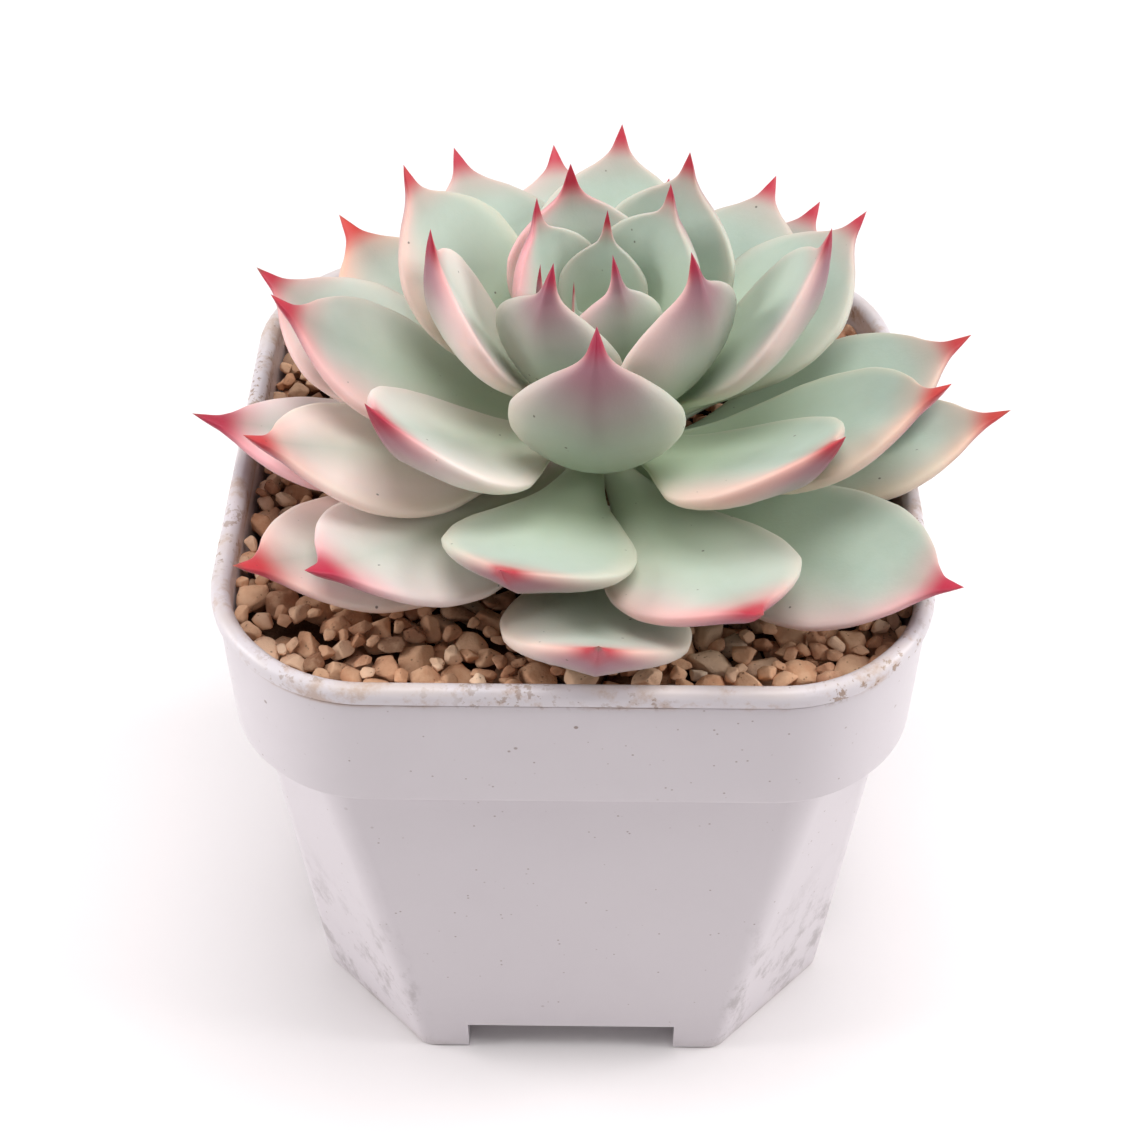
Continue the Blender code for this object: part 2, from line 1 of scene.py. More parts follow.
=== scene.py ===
# %% [markdown]
# # A potted rosette succulent
# The imported parts give the places and the sizes. This lesson gives each of them its finished surface:
# waxy leaves with red points, loose tan gravel over dark soil, and a small moulded plastic pot.
# The first step loads the parts; a small helper measures the box that a part fills. The finished pieces
# have to stay inside it.

import math

import bmesh
import bpy
import numpy as np
from mathutils import Matrix, Vector, noise


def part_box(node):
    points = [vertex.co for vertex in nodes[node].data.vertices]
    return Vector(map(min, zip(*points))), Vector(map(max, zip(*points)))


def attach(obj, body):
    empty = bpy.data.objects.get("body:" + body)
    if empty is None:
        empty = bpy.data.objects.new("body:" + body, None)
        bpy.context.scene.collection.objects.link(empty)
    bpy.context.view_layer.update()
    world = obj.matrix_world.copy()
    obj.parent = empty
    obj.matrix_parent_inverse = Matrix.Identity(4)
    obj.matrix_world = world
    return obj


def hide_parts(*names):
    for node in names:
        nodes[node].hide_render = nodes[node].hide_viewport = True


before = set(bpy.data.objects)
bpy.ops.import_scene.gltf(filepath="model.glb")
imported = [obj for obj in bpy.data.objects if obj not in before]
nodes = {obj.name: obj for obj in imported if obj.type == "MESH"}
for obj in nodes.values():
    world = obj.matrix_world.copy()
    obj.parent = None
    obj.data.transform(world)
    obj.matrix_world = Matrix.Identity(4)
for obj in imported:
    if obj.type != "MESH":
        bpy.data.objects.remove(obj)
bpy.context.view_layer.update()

# %% [markdown]
# Everything is measured from a few parts. The pot's box gives the middle of the pot and the height of
# its rim, and the gravel's box gives the level of the dressing.

# %% Places and levels
MM = 0.001
pot_low, pot_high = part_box("pot")
gravel_low, gravel_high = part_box("gravel_layer")
POT_MIDDLE = Vector(((pot_low.x + pot_high.x) / 2, (pot_low.y + pot_high.y) / 2, 0))
POT_HEIGHT = pot_high.z
POT_WIDTH = pot_high.x - pot_low.x
PLANT_OFFSET = Vector((3.0, -1.0, 0)) * MM
PLANT = POT_MIDDLE + PLANT_OFFSET
print("pot", round(POT_WIDTH, 4), "wide and", round(POT_HEIGHT, 4), "high, at", POT_MIDDLE)

# %% [markdown]
# Colours are given as a screen shows them, while shaders count in light. This helper turns one
# into the other.

# %% Colour helper


def seen(red, green, blue):
    """A colour as light, from its values on a screen."""
    def light(v):
        return v / 12.92 if v <= 0.04045 else ((v + 0.055) / 1.055) ** 2.4
    return (light(red), light(green), light(blue), 1.0)


print("mid grey as light:", round(seen(0.5, 0.5, 0.5)[0], 3))

# %% [markdown]
# A material is a graph of nodes. To write it like a sum, a small class wraps a node's output and turns
# each operator into its Math node. Colours need Mix nodes and vectors need Vector Math, because a Math
# node would turn them grey. Any other node comes from one method, which takes its type, its settings
# and what its sockets hold.

# %% Sums on sockets


def operator(operation, swapped=False):
    """A method that puts a Math node on two values."""
    def method(self, other):
        pair = (other, self) if swapped else (self, other)
        return self.math(operation, *pair)

    return method


class Flow:
    """A node's output that sums can be written with."""

    def __init__(self, finish, socket):
        self.finish = finish
        self.socket = socket

    def math(self, operation, *values):
        inputs = dict(enumerate(values))
        return self.finish.node("ShaderNodeMath", {"operation": operation}, inputs)

    __add__ = operator("ADD")
    __radd__ = operator("ADD", swapped=True)
    __sub__ = operator("SUBTRACT")
    __rsub__ = operator("SUBTRACT", swapped=True)
    __mul__ = operator("MULTIPLY")
    __rmul__ = operator("MULTIPLY", swapped=True)
    __pow__ = operator("POWER")
    least = operator("MINIMUM")

    def __abs__(self):
        return self.math("ABSOLUTE", self)

    def rise(self, start, end):
        """0 up to start, 1 from end on, and smooth between. With start above end it falls."""
        return self.finish.node(
            "ShaderNodeMapRange", {"interpolation_type": "SMOOTHSTEP"},
            {"Value": self, "From Min": start, "From Max": end, "To Min": 0.0, "To Max": 1.0})

    def parts(self):
        made = self.finish.node("ShaderNodeSeparateXYZ", {}, {0: self}).socket.node
        return [Flow(self.finish, output) for output in made.outputs]

    def scaled(self, x, y, z):
        """A vector stretched by three numbers."""
        settings = {"operation": "MULTIPLY"}
        return self.finish.node("ShaderNodeVectorMath", settings, {0: self, 1: (x, y, z)})

    def moved(self, other):
        return self.finish.node("ShaderNodeVectorMath", {"operation": "ADD"}, {0: self, 1: other})


class Finish:
    """A material under construction."""

    def __init__(self, name):
        self.material = bpy.data.materials.new(name)
        self.material.use_nodes = True
        self.tree = self.material.node_tree
        self.shader = self.tree.nodes["Principled BSDF"]

    def node(self, kind, settings, inputs, out=0):
        made = self.tree.nodes.new(kind)
        for name, value in settings.items():
            if name == "stops":
                elements = made.color_ramp.elements
                while len(elements) < len(value):
                    elements.new(1.0)
                for element, (place, colour) in zip(elements, value):
                    element.position = place
                    element.color = colour
            else:
                setattr(made, name, value)
        for name, value in inputs.items():
            if isinstance(value, Flow):
                self.tree.links.new(value.socket, made.inputs[name])
            else:
                made.inputs[name].default_value = value
        return Flow(self, made.outputs[out])

    def attribute(self, name):
        return self.node("ShaderNodeAttribute", {"attribute_name": name}, {}, "Vector")

    def place(self):
        return self.node("ShaderNodeTexCoord", {}, {}, "Object")

    def mix(self, share, below, above):
        """The colour below, covered by the colour above as far as share says."""
        settings = {"data_type": "RGBA", "clamp_factor": True}
        return self.node("ShaderNodeMix", settings, {0: share, 6: below, 7: above}, 2)

    def cloud(self, place, scale, detail=3.0, rough=0.5):
        return self.node("ShaderNodeTexNoise", {}, {
            "Vector": place, "Scale": scale, "Detail": detail, "Roughness": rough})

    def cells(self, place, scale):
        """Distance to the middle of the nearest cell."""
        return self.node("ShaderNodeTexVoronoi", {}, {"Vector": place, "Scale": scale}, "Distance")

    def ramp(self, value, *stops):
        return self.node("ShaderNodeValToRGB", {"stops": stops}, {0: value})

    def bump(self, height, distance, strength=1.0):
        return self.node("ShaderNodeBump", {}, {
            "Height": height, "Distance": distance, "Strength": strength})

    def set(self, **values):
        """Puts numbers, colours or flows on the shader, by socket name with _ for a space."""
        for name, value in values.items():
            socket = self.shader.inputs[name.replace("_", " ")]
            if isinstance(value, Flow):
                self.tree.links.new(value.socket, socket)
            else:
                socket.default_value = value
        return self.material


print("wrapped operators are ready")

# %% [markdown]
# Every new piece is a plain mesh with smooth faces. Values that change over a surface, such as how far
# along a leaf a point is, are stored on its points, where a material can read them.

# %% Mesh helpers


def piece(name, points, faces, material, values=None, replaces=()):
    """A smooth mesh on the root; values holds a vector for each point, by attribute name."""
    mesh = bpy.data.meshes.new(name)
    mesh.from_pydata([tuple(p) for p in points], [], [tuple(f) for f in faces])
    for key, rows in (values or {}).items():
        attribute = mesh.attributes.new(key, "FLOAT_VECTOR", "POINT")
        attribute.data.foreach_set("vector", np.asarray(rows, np.float32).ravel())
    mesh.shade_smooth()
    mesh.materials.append(material)
    obj = bpy.data.objects.new(name, mesh)
    bpy.context.scene.collection.objects.link(obj)
    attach(obj, "root")
    if replaces:
        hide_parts(*replaces)
    return obj


def ring_faces(rings, sides, close_ends=True):
    """Faces of a tube of rings that each hold as many points as there are sides."""
    faces = []
    for r in range(rings - 1):
        low = r * sides
        for i in range(sides):
            j = (i + 1) % sides
            faces.append((low + i, low + j, low + sides + j, low + sides + i))
    if close_ends:
        faces.append(list(reversed(range(sides))))
        faces.append([(rings - 1) * sides + i for i in range(sides)])
    return faces


def smooth_curve(points):
    """A function through (x, y) points that never overshoots between two of them."""
    xs, ys = zip(*points)
    slopes = [(y1 - y0) / (x1 - x0) for x0, x1, y0, y1 in zip(xs, xs[1:], ys, ys[1:])]
    tangents = [slopes[0]]
    for before, after in zip(slopes, slopes[1:]):
        flat = before * after <= 0
        tangents.append(0.0 if flat else 2 * before * after / (before + after))
    tangents.append(slopes[-1])

    def value(x):
        x = min(max(x, xs[0]), xs[-1])
        i = max(k for k in range(len(xs) - 1) if xs[k] <= x)
        step = xs[i + 1] - xs[i]
        t = (x - xs[i]) / step
        rise = ys[i + 1] - ys[i]
        bend = (1 - t) * tangents[i] * step - t * tangents[i + 1] * step + (2 * t - 1) * rise
        return ys[i] + t * rise + t * (1 - t) * bend

    return value


print("mesh helpers are ready")

# %% [markdown]
# ## The rosette
# A rosette grows by a few rules. Each new leaf appears 137.5 degrees round from the last one, and its
# length, width, lean, curl and cup change steadily with its age. Leaves could be modelled one by one,
# but rules keep the spiral true, so only the leaves that stand out of the pattern are turned or bent
# as listed. Order counts the leaves from the growing point outwards.

# %% Growth rules
ORDERS = (5, *range(7, 43))
GOLDEN_ANGLE = 137.5
FIRST_AZIMUTH = 94.0
LENGTH_BY_ORDER = ((5, .0145), (8, .0220), (12, .0290), (18, .0375), (28, .0430), (42, .0480))
WIDTH_BY_ORDER = ((5, .0045), (9, .0130), (12, .0175), (18, .0205), (28, .0220), (42, .0220))
LEAN_BY_ORDER = ((5, 74), (9, 58), (12, 50), (15, 41), (21, 20), (27, 10.5), (42, 3))
CURL_BY_ORDER = ((5, 18), (9, 36), (14, 50), (24, 36), (32, 28), (42, 27))
CUP_BY_ORDER = ((5, .35), (15, .30), (28, .17), (42, .12))
TURNED = {
    5: 20, 7: -20, 8: 10, 10: -20, 11: 20, 12: -5, 14: -10, 17: -10, 18: 10, 19: -10,
    22: 5, 23: 10, 29: -10, 30: 5, 31: 10, 32: -5, 33: -10, 37: 5, 39: 5, 40: 5,
}
RAISED = {
    9: 20, 11: -5, 12: 5, 14: 5, 16: 5, 17: 5, 19: 10, 20: -5, 22: -5, 26: 5, 27: 5,
    34: 5, 35: -5, 36: -5, 39: 5,
}
CURLED = {12: 10, 14: 10, 17: 25, 38: 25}
ROLLED = {35: 10, 36: 8}
LONGER = {35: 3 * MM}
BACK_LEAN = 7.5
BACK_CURL = -9.0
ROLL_SPREAD = 9.0
SWEEP_SPREAD = 7.0
FIRST_BASE_HEIGHT = 9.0 * MM
BASE_STEP = 0.36 * MM
LOWEST_BASE = -5.8 * MM
CORE_REACH = 1.2 * MM
STEM_REACH = 3.6 * MM
STEM_FULL_ORDER = 28
length_at = smooth_curve(LENGTH_BY_ORDER)
width_at = smooth_curve(WIDTH_BY_ORDER)
lean_at = smooth_curve(LEAN_BY_ORDER)
curl_at = smooth_curve(CURL_BY_ORDER)
cup_at = smooth_curve(CUP_BY_ORDER)
print(len(ORDERS), "leaves, the oldest", round(length_at(42) / MM, 1), "mm long")

# %% [markdown]
# One leaf is a midline that leaves the stem at an angle and curls up, with a cupped section along it.
# The outline widens to the middle and draws in to a narrow point. The midline is stepped in the same
# way as in the solid parts, so that each fine leaf lies exactly in its solid one.

# %% One leaf's midline and outline
MIDLINE_STEPS = 60
CURL_POWER = 1.4
SPINE_LENGTH = 4.4 * MM
SPINE_SHARE = 0.10
THICKNESS_BASE = 0.7 * MM
THICKNESS_PER_WIDTH = 0.125
OUTLINE = smooth_curve((
    (0, .16), (.20, .38), (.35, .70), (.48, .94), (.57, 1), (.67, .965),
    (.76, .80), (.84, .51), (.885, .27), (.925, .12), (.965, .055), (1, 0)))
BODY = smooth_curve((
    (0, .25), (.25, .55), (.45, .90), (.60, 1), (.72, .88), (.83, .58), (.90, .36), (.95, .19), (1, 0)))


class Leaf:
    def __init__(self, base, azimuth, lean, curl, length, width, thickness, cup, roll=0.0, sweep=0.0):
        self.base = np.array(base, float)
        self.azimuth = azimuth
        self.lean = lean
        self.curl = curl
        self.length = length
        self.width = width
        self.thickness = thickness
        self.cup = cup
        self.roll = math.radians(roll)
        self.sweep = sweep

    def heading(self, along):
        """Directions along the midline, and its turn about the upright axis."""
        pitch = np.radians(self.lean + self.curl * along ** CURL_POWER)
        turn = np.radians(self.azimuth + self.sweep * along)
        flat = np.cos(pitch)
        return np.stack([flat * np.cos(turn), flat * np.sin(turn), np.sin(pitch)], -1), turn

    def midline(self):
        steps = np.arange(MIDLINE_STEPS + 1) / MIDLINE_STEPS
        directions, _ = self.heading(steps)
        moves = directions[:-1] * self.length / MIDLINE_STEPS
        return steps, self.base + np.vstack([np.zeros(3), np.cumsum(moves, 0)])

    def outline_place(self, along):
        """Keeps the spine the same length on every leaf."""
        spine_start = 1 - SPINE_LENGTH / self.length
        if along < spine_start:
            return along / spine_start * (1 - SPINE_SHARE)
        return 1 - SPINE_SHARE * (1 - along) / (1 - spine_start)


def base_height(order):
    return POT_HEIGHT + max(FIRST_BASE_HEIGHT - BASE_STEP * order, LOWEST_BASE)


def base_reach(order):
    return CORE_REACH + STEM_REACH * min(order / STEM_FULL_ORDER, 1.0) ** 0.8


def irregular(order, kind, spread):
    """A small steady departure that differs from leaf to leaf."""
    return spread * noise.noise(Vector((order * 0.73, kind * 5.31, 0.5)))


def grown_leaf(order, raised=0.0, sidestep=0.0, climb=0.0):
    azimuth = FIRST_AZIMUTH - GOLDEN_ANGLE * order + TURNED.get(order, 0) + sidestep
    back = math.sin(math.radians(azimuth))
    lean = lean_at(order) + BACK_LEAN * back + RAISED.get(order, 0) + raised
    curl = curl_at(order) + BACK_CURL * back + CURLED.get(order, 0)
    outwards = Vector((math.cos(math.radians(azimuth)), back, 0))
    base = PLANT + outwards * base_reach(order) + Vector((0, 0, base_height(order) + climb))
    length = length_at(order) + LONGER.get(order, 0.0)
    width = width_at(order)
    thickness = THICKNESS_BASE + THICKNESS_PER_WIDTH * width
    roll = irregular(order, 1, ROLL_SPREAD) + ROLLED.get(order, 0)
    sweep = irregular(order, 2, SWEEP_SPREAD)
    return Leaf(base, azimuth, lean, curl, length, width, thickness, cup_at(order), roll, sweep)


print("leaf 28 reaches", [round(v / MM, 1) for v in grown_leaf(28).midline()[1][-1]], "mm")

# %% [markdown]
# The solid leaves were laid one on the other, and each was raised, turned or slid up the stem by a
# little until it lay clear. The move that each one made isn't written down here: it is found again, by
# trying the moves and keeping the one whose two ends meet the solid leaf's own end points.

# %% Find how each leaf settled
RAISES = range(17)
SIDESTEPS = range(-6, 7, 2)
CLIMBS = [step * 0.5 * MM for step in range(9)]


def settled_leaf(order, node):
    solid = np.array([v.co for v in node.data.vertices])
    best = None
    for climb in CLIMBS:
        for sidestep in SIDESTEPS:
            for raised in RAISES:
                leaf = grown_leaf(order, raised, sidestep, climb)
                ends = (leaf.base, leaf.midline()[1][-1])
                miss = sum(np.min(np.linalg.norm(solid - end, axis=1)) for end in ends)
                if best is None or miss < best[0]:
                    best = (miss, leaf)
    return best


leaves = {}
worst = 0.0
for number, order in enumerate(ORDERS, start=1):
    miss, leaves[order] = settled_leaf(order, nodes[f"leaf_{number:02d}"])
    worst = max(worst, miss)
print("settled", len(leaves), "leaves, worst miss", round(worst / MM, 4), "mm")

# %% [markdown]
# A real leaf is thick and fleshy. Its upper face is a shallow dish, its margins are round, and the
# underside carries a soft keel towards the point. The fine mesh sets rings closer together at both
# ends, fills out the margins, adds the keel, and lets the margins waver by a tenth of a millimetre.
# Each point keeps its place on the leaf, how much it faces the direction that painted light comes from,
# and the leaf's own colours.

# %% A fine leaf mesh
LEAF_RINGS = 58
LEAF_SIDES = 32
MARGIN_FULLNESS = 0.88
UPPER_SHARE = 0.44
LOWER_SHARE = 0.82
KEEL_RISE = 0.32
KEEL_HALF_WIDTH = 0.22
KEEL_START, KEEL_RUN = 0.45, 0.35
WAVER = 0.022
# The direction that light is painted from: leaf sides that face it are painted paler and pinker, as
# painted light.
PAINTED_LIGHT_DIRECTION = np.array((-0.55, -0.83, 0.0))


def fine_leaf(leaf, tint, seed):
    angles = np.arange(LEAF_SIDES) * 2 * math.pi / LEAF_SIDES
    lateral = np.cos(angles)
    lift = np.sin(angles)
    full = np.sign(lift) * np.abs(lift) ** MARGIN_FULLNESS
    steps, line = leaf.midline()
    flatter = min(1.0, 0.38 + 3.8 * max(leaf.cup - 0.17, 0))
    points, place, faces_light = [], [], []
    for r in range(LEAF_RINGS):
        share = r / LEAF_RINGS
        along = 0.45 * share + 0.55 * math.sin(share * math.pi / 2)
        direction, turn = leaf.heading(np.array(along))
        middle = np.array([np.interp(along, steps, line[:, k]) for k in range(3)])
        across = np.array((-math.sin(turn), math.cos(turn), 0.0))
        upward = np.cross(direction, across)
        side = across * math.cos(leaf.roll) + upward * math.sin(leaf.roll)
        face = upward * math.cos(leaf.roll) - across * math.sin(leaf.roll)
        outline = leaf.outline_place(along)
        half = leaf.width / 2 * OUTLINE(outline)
        body = min(leaf.thickness * BODY(outline), 2 * half)
        wave = noise.noise(Vector((along * 5.0, seed * 3.7, 1.0)))
        other_wave = noise.noise(Vector((along * 5.0, seed * 3.7, 9.0)))
        waver = 1 + WAVER * np.where(lateral > 0, wave, other_wave) * np.abs(lateral)
        keel = KEEL_RISE * np.exp(-(lateral / KEEL_HALF_WIDTH) ** 2)
        keel = keel * min(max((along - KEEL_START) / KEEL_RUN, 0), 1)
        upper = UPPER_SHARE * body * full
        lower = LOWER_SHARE * body * full * (1 + keel)
        fade = min(1.0, 1.15 - along) ** 0.3
        cup = leaf.cup * flatter * half * lateral ** 2 * fade
        height = cup + np.where(lift > 0, upper, lower)
        points.append(middle + np.outer(half * lateral * waver, side) + np.outer(height, face))
        place.append(np.stack([np.full(LEAF_SIDES, along), lateral, (1 - lift) / 2], -1))
        # How much this point faces the direction of the painted light.
        faces_light.append(lateral * float(side @ PAINTED_LIGHT_DIRECTION))
    count = LEAF_RINGS * LEAF_SIDES
    points = np.vstack([*points, line[:1], line[-1:]])
    place = np.vstack([*place, [(0, 0, 0.5)], [(1, 0, 0.5)]])
    faces_light = np.concatenate([*faces_light, [0], [0]])
    faces = ring_faces(LEAF_RINGS, LEAF_SIDES, close_ends=False)
    last = count - LEAF_SIDES
    for i in range(LEAF_SIDES):
        j = (i + 1) % LEAF_SIDES
        faces.append((j, i, count))
        faces.append((last + i, last + j, count + 1))
    pale, blush, warm, dry = tint
    point_values = np.stack([faces_light, np.full(len(faces_light), pale), np.full(len(faces_light), blush)], -1)
    nature = np.tile((warm, dry, seed), (len(faces_light), 1))
    return points, faces, {"leaf_place": place, "leaf_own": point_values, "leaf_nature": nature}


print("each fine leaf has", LEAF_RINGS * LEAF_SIDES, "faces")

# %% [markdown]
# The colours of a leaf tell where it grew. Inside, the wax bloom makes it a powdery grey green. The
# margins are thin and let cream and pink through. On the side of each leaf that faces the light, cream
# is painted on as painted light, and the pink blush is painted strongest there. The
# point is crimson, the underside turns mauve before it, and old points dry to brown. All of this is one
# material that reads the places stored on the points, so every leaf follows the same rules.

# %% Leaf material


def leaf_material():
    f = Finish("leaf_skin")
    along, lateral, under = f.attribute("leaf_place").parts()
    faces_light, pale, blush = f.attribute("leaf_own").parts()
    warm, dry, seed = f.attribute("leaf_nature").parts()
    place = f.place()
    broad = f.cloud(place, 70.0, 2.0)
    fine = f.cloud(place, 420.0, 4.0, 0.6)
    edge = abs(lateral)
    soft = (broad - 0.5) * 0.22

    bloom = f.mix((fine - 0.3) * 0.6, seen(.685, .755, .70), seen(.765, .82, .78))
    fresh = f.mix(broad, seen(.735, .81, .67), seen(.80, .86, .73))
    colour = f.mix((along + soft).rise(0.85, 0.12) * 0.85, bloom, fresh)
    colour = f.mix(under * 0.65, colour, seen(.585, .62, .55))

    cream = f.mix(warm, seen(.985, .905, .90), seen(1.0, .92, .865))
    # The cream veil follows each leaf's pale share, which is partly the leaf's own colour and partly
    # painted light on leaves that face the light.
    veil = (pale * (0.40 + 0.9 * edge + soft)).least(0.95)
    colour = f.mix(veil, colour, cream)
    # Painted light: the half of each leaf that faces the light's direction is painted cream, so it looks
    # lit.
    side = (faces_light + soft).rise(0.05, 1.0) * (along + soft).rise(0.20, 0.62)
    colour = f.mix(side * (0.22 + 0.75 * pale + 0.25 * blush), colour, cream)
    rim = (edge + soft * 0.2).rise(0.72, 1.0) * along.rise(0.12, 0.4)
    colour = f.mix(rim * 0.24, colour, f.mix(warm, seen(.98, .90, .86), seen(.97, .91, .76)))

    rose = f.mix(warm, seen(.93, .55, .60), seen(.95, .69, .57))
    # The pink blush is the leaf's own colour, but it is painted strongest on the side that faces the
    # light, as painted light.
    lit_side_blush = (faces_light + soft * 2.2).rise(0.30, 1.05) * (along + soft).rise(0.25, 0.85)
    colour = f.mix(lit_side_blush * blush * 0.85, colour, rose)
    near_point = (along + edge * 0.04 + soft * 0.30).rise(0.80, 0.96)
    colour = f.mix(near_point * (0.15 + 0.65 * blush), colour, rose)
    dusky = (along - edge * 0.05 + soft * 0.30).rise(0.74, 0.92) * (0.12 + 0.45 * blush)
    colour = f.mix(dusky, colour, seen(.66, .45, .43))
    mauve = (along + soft * 0.3 - edge * 0.05).rise(0.58, 0.88) * under.rise(0.35, 0.95)
    colour = f.mix(mauve * 0.84, colour, seen(.53, .30, .38))

    crimson = f.mix(warm, seen(.72, .11, .25), seen(.82, .24, .20))
    crimson = f.mix(under * 0.6, crimson, seen(.50, .10, .24))
    point = (along + blush * 0.035 + soft * 0.16).rise(0.885, 0.965)
    colour = f.mix(point * 0.97, colour, crimson)
    colour = f.mix(along.rise(0.965, 0.99) * dry, colour, seen(.42, .30, .24))

    spot = f.cells(place.moved(f.node("ShaderNodeCombineXYZ", {}, {0: seed})), 330.0)
    chance = f.cloud(place, 900.0, 0.0)
    speck = spot.rise(0.075, 0.035) * chance.rise(0.50, 0.56)
    colour = f.mix(speck * 0.75, colour, seen(.28, .24, .20))

    grain = f.cloud(place, 3000.0, 2.0)
    relief = f.bump(broad * 0.8 + fine * 0.35 + grain * 0.08, 0.25 * MM, 0.5)
    return f.set(
        Base_Color=colour, Roughness=0.46 + fine * 0.22 - point * 0.10, Normal=relief,
        Subsurface_Weight=0.22, Subsurface_Radius=(1.0, 0.55, 0.40), Subsurface_Scale=2.2 * MM,
        Specular_IOR_Level=0.42, Sheen_Weight=0.10, Sheen_Roughness=0.5)


leaf_skin = leaf_material()
print(leaf_skin.name, "has", len(leaf_skin.node_tree.nodes), "nodes")

# %% [markdown]
# Leaves on the left, which face the light, are painted paler and blush more than those on the right:
# this is partly their own colour and partly painted light. A rule by direction gives each leaf its own
# share, and the leaves that clearly differ, such as the almost white ones low on the left, are listed:
# pale, blush, warm (peach rather than rose) and dry (brown point).

# %% Each leaf's own colours and painted light
OWN_TINT = {
    5: (.05, .9, .0, .0), 7: (.05, .8, .0, .0), 8: (.05, .9, .0, .0), 9: (.10, .6, .0, .0),
    10: (.10, .8, .0, .0), 11: (.0, .4, .0, .0), 12: (.08, .5, .1, .0), 13: (.22, 1.0, .1, .0),
    15: (.50, .7, .2, .0), 17: (.0, .4, .0, .0), 18: (.05, .4, .4, .1), 20: (.42, 1.0, .1, .0),
    22: (.0, .55, .5, .0), 23: (.20, .7, .2, .2), 25: (.05, .50, .4, .0), 27: (.0, .35, .8, .0),
    28: (.97, .60, .6, .2), 30: (.12, .65, .2, .4), 31: (.22, .5, .2, .6), 32: (.0, .30, .6, .2),
    33: (.60, 1.0, .0, .1), 35: (.0, .40, .0, .1), 36: (.80, 1.0, .0, .4), 38: (.35, .7, .5, .8),
    39: (.25, .6, .9, .2), 40: (.0, .35, .9, .3), 41: (.80, .9, .5, .6),
}


def tint_of(order, leaf):
    turn = math.radians(leaf.azimuth)
    # How far the leaf faces the direction of the painted light; leaves that face it get more pale and
    # blush, as painted light.
    toward_light = 0.5 + 0.5 * (math.cos(turn) * PAINTED_LIGHT_DIRECTION[0] + math.sin(turn) * PAINTED_LIGHT_DIRECTION[1])
    return OWN_TINT.get(order, (0.02 + 0.12 * toward_light, 0.12 + 0.35 * toward_light, 0.15, 0.1))


for number, order in enumerate(ORDERS, start=1):
    leaf = leaves[order]
    points, faces, values = fine_leaf(leaf, tint_of(order, leaf), order)
    name = f"leaf_{number:02d}"
    piece(f"fine_{name}", points, faces, leaf_skin, values, [name])
print("fine leaves made:", len(leaves))

# %% [markdown]
# Two shed leaves lie on the gravel in front. They are the same blade, shrunk and wrinkled, in dry
# papery brown, so the same mesh is used with noise that crumples it.

# %% Dried leaves


def dried_material():
    f = Finish("dry_leaf_skin")
    place = f.place()
    streaks = f.cloud(place.scaled(1.0, 1.0, 3.0), 500.0, 5.0, 0.65)
    blotch = f.cloud(place, 160.0, 2.0)
    colour = f.ramp(streaks, (0.30, seen(.25, .14, .08)), (0.52, seen(.50, .34, .21)),
                    (0.72, seen(.68, .53, .36)))
    colour = f.mix(blotch.rise(0.45, 0.65) * 0.5, colour, seen(.33, .17, .13))
    return f.set(Base_Color=colour, Roughness=0.62 + streaks * 0.2,
                 Normal=f.bump(streaks, 0.3 * MM, 0.8))


dry_skin = dried_material()
DRY_LENGTH = 13 * MM
DRY_WIDTH = 4.8 * MM
DRY_THICKNESS = 0.9 * MM
DRY_CURL = 20.0
DRY_CUP = 0.5
WRINKLE_SIZE = 1.6 * MM
WRINKLE = np.array((0.28, 0.28, 0.10)) * MM


def dried_leaf(number, x, y, azimuth):
    node = f"dried_leaf_{number}"
    low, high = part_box(node)
    base = POT_MIDDLE + Vector((x, y, 0))
    leaf = Leaf(base, azimuth, 0.0, DRY_CURL, DRY_LENGTH, DRY_WIDTH, DRY_THICKNESS, DRY_CUP)
    points, faces, values = fine_leaf(leaf, (0, 0, 0, 0), number)
    points[:, 2] += (low.z + high.z) / 2 - (points[:, 2].min() + points[:, 2].max()) / 2
    for p in points:
        p += np.array(noise.noise_vector(Vector(p) / WRINKLE_SIZE)) * WRINKLE
    return piece(f"shed_leaf_{number}", points, faces, dry_skin, values, [node])


dried_leaf(1, -17.5 * MM, -22.5 * MM, 5.0)
dried_leaf(2, 15.0 * MM, -26.5 * MM, 20.0)

# %% [markdown]
# ## The pot
# The pot is one thin moulded shell: a square with cut and rounded corners. At the rim the corners are
# nearly round, and towards the base the cut grows wide, which gives the long triangular facets. A rolled
# edge runs round the top of a collar, and the body is set in under it. A section class draws the outline
# at one height, and a skin over many sections makes the shell. More sections than in the solid part
# round off the rolled edge, the groove below it and the lip of the collar.

# %% Pot sections
EIGHTH = math.radians(45)
SETBACK = math.tan(EIGHTH / 2)
CORNER_STEPS = 9
CORNER_FLAT = 0.8 * MM


class Section:
    def __init__(self, half, chamfer, radius, height):
        self.half = half
        self.chamfer = chamfer
        self.radius = min(radius, (chamfer * math.sqrt(2) - CORNER_FLAT) / (2 * SETBACK))
        self.height = height

    def inset(self, distance, height):
        chamfer = self.chamfer - distance * (2 - math.sqrt(2))
        return Section(self.half - distance, chamfer, max(self.radius - distance, 0.3 * MM), height)

    def towards(self, other, share):
        def mix(a, b):
            return a + (b - a) * share
        return Section(mix(self.half, other.half), mix(self.chamfer, other.chamfer),
                       mix(self.radius, other.radius), mix(self.height, other.height))

    def points(self):
        near = self.half - self.chamfer
        corners = ((self.half, near, 0.0), (near, self.half, EIGHTH))
        ring = []
        for quarter in range(4):
            turn = Matrix.Rotation(quarter * 2 * EIGHTH, 3, "Z")
            for x, y, start in corners:
                normal = Vector((math.cos(start), math.sin(start), 0))
                along = Vector((-math.sin(start), math.cos(start), 0))
                middle = Vector((x, y, 0)) - along * self.radius * SETBACK - normal * self.radius
                for i in range(CORNER_STEPS + 1):
                    angle = start + EIGHTH * i / CORNER_STEPS
                    arm = Vector((math.cos(angle), math.sin(angle), 0)) * self.radius
                    ring.append(POT_MIDDLE + turn @ (middle + arm) + Vector((0, 0, self.height)))
        return ring


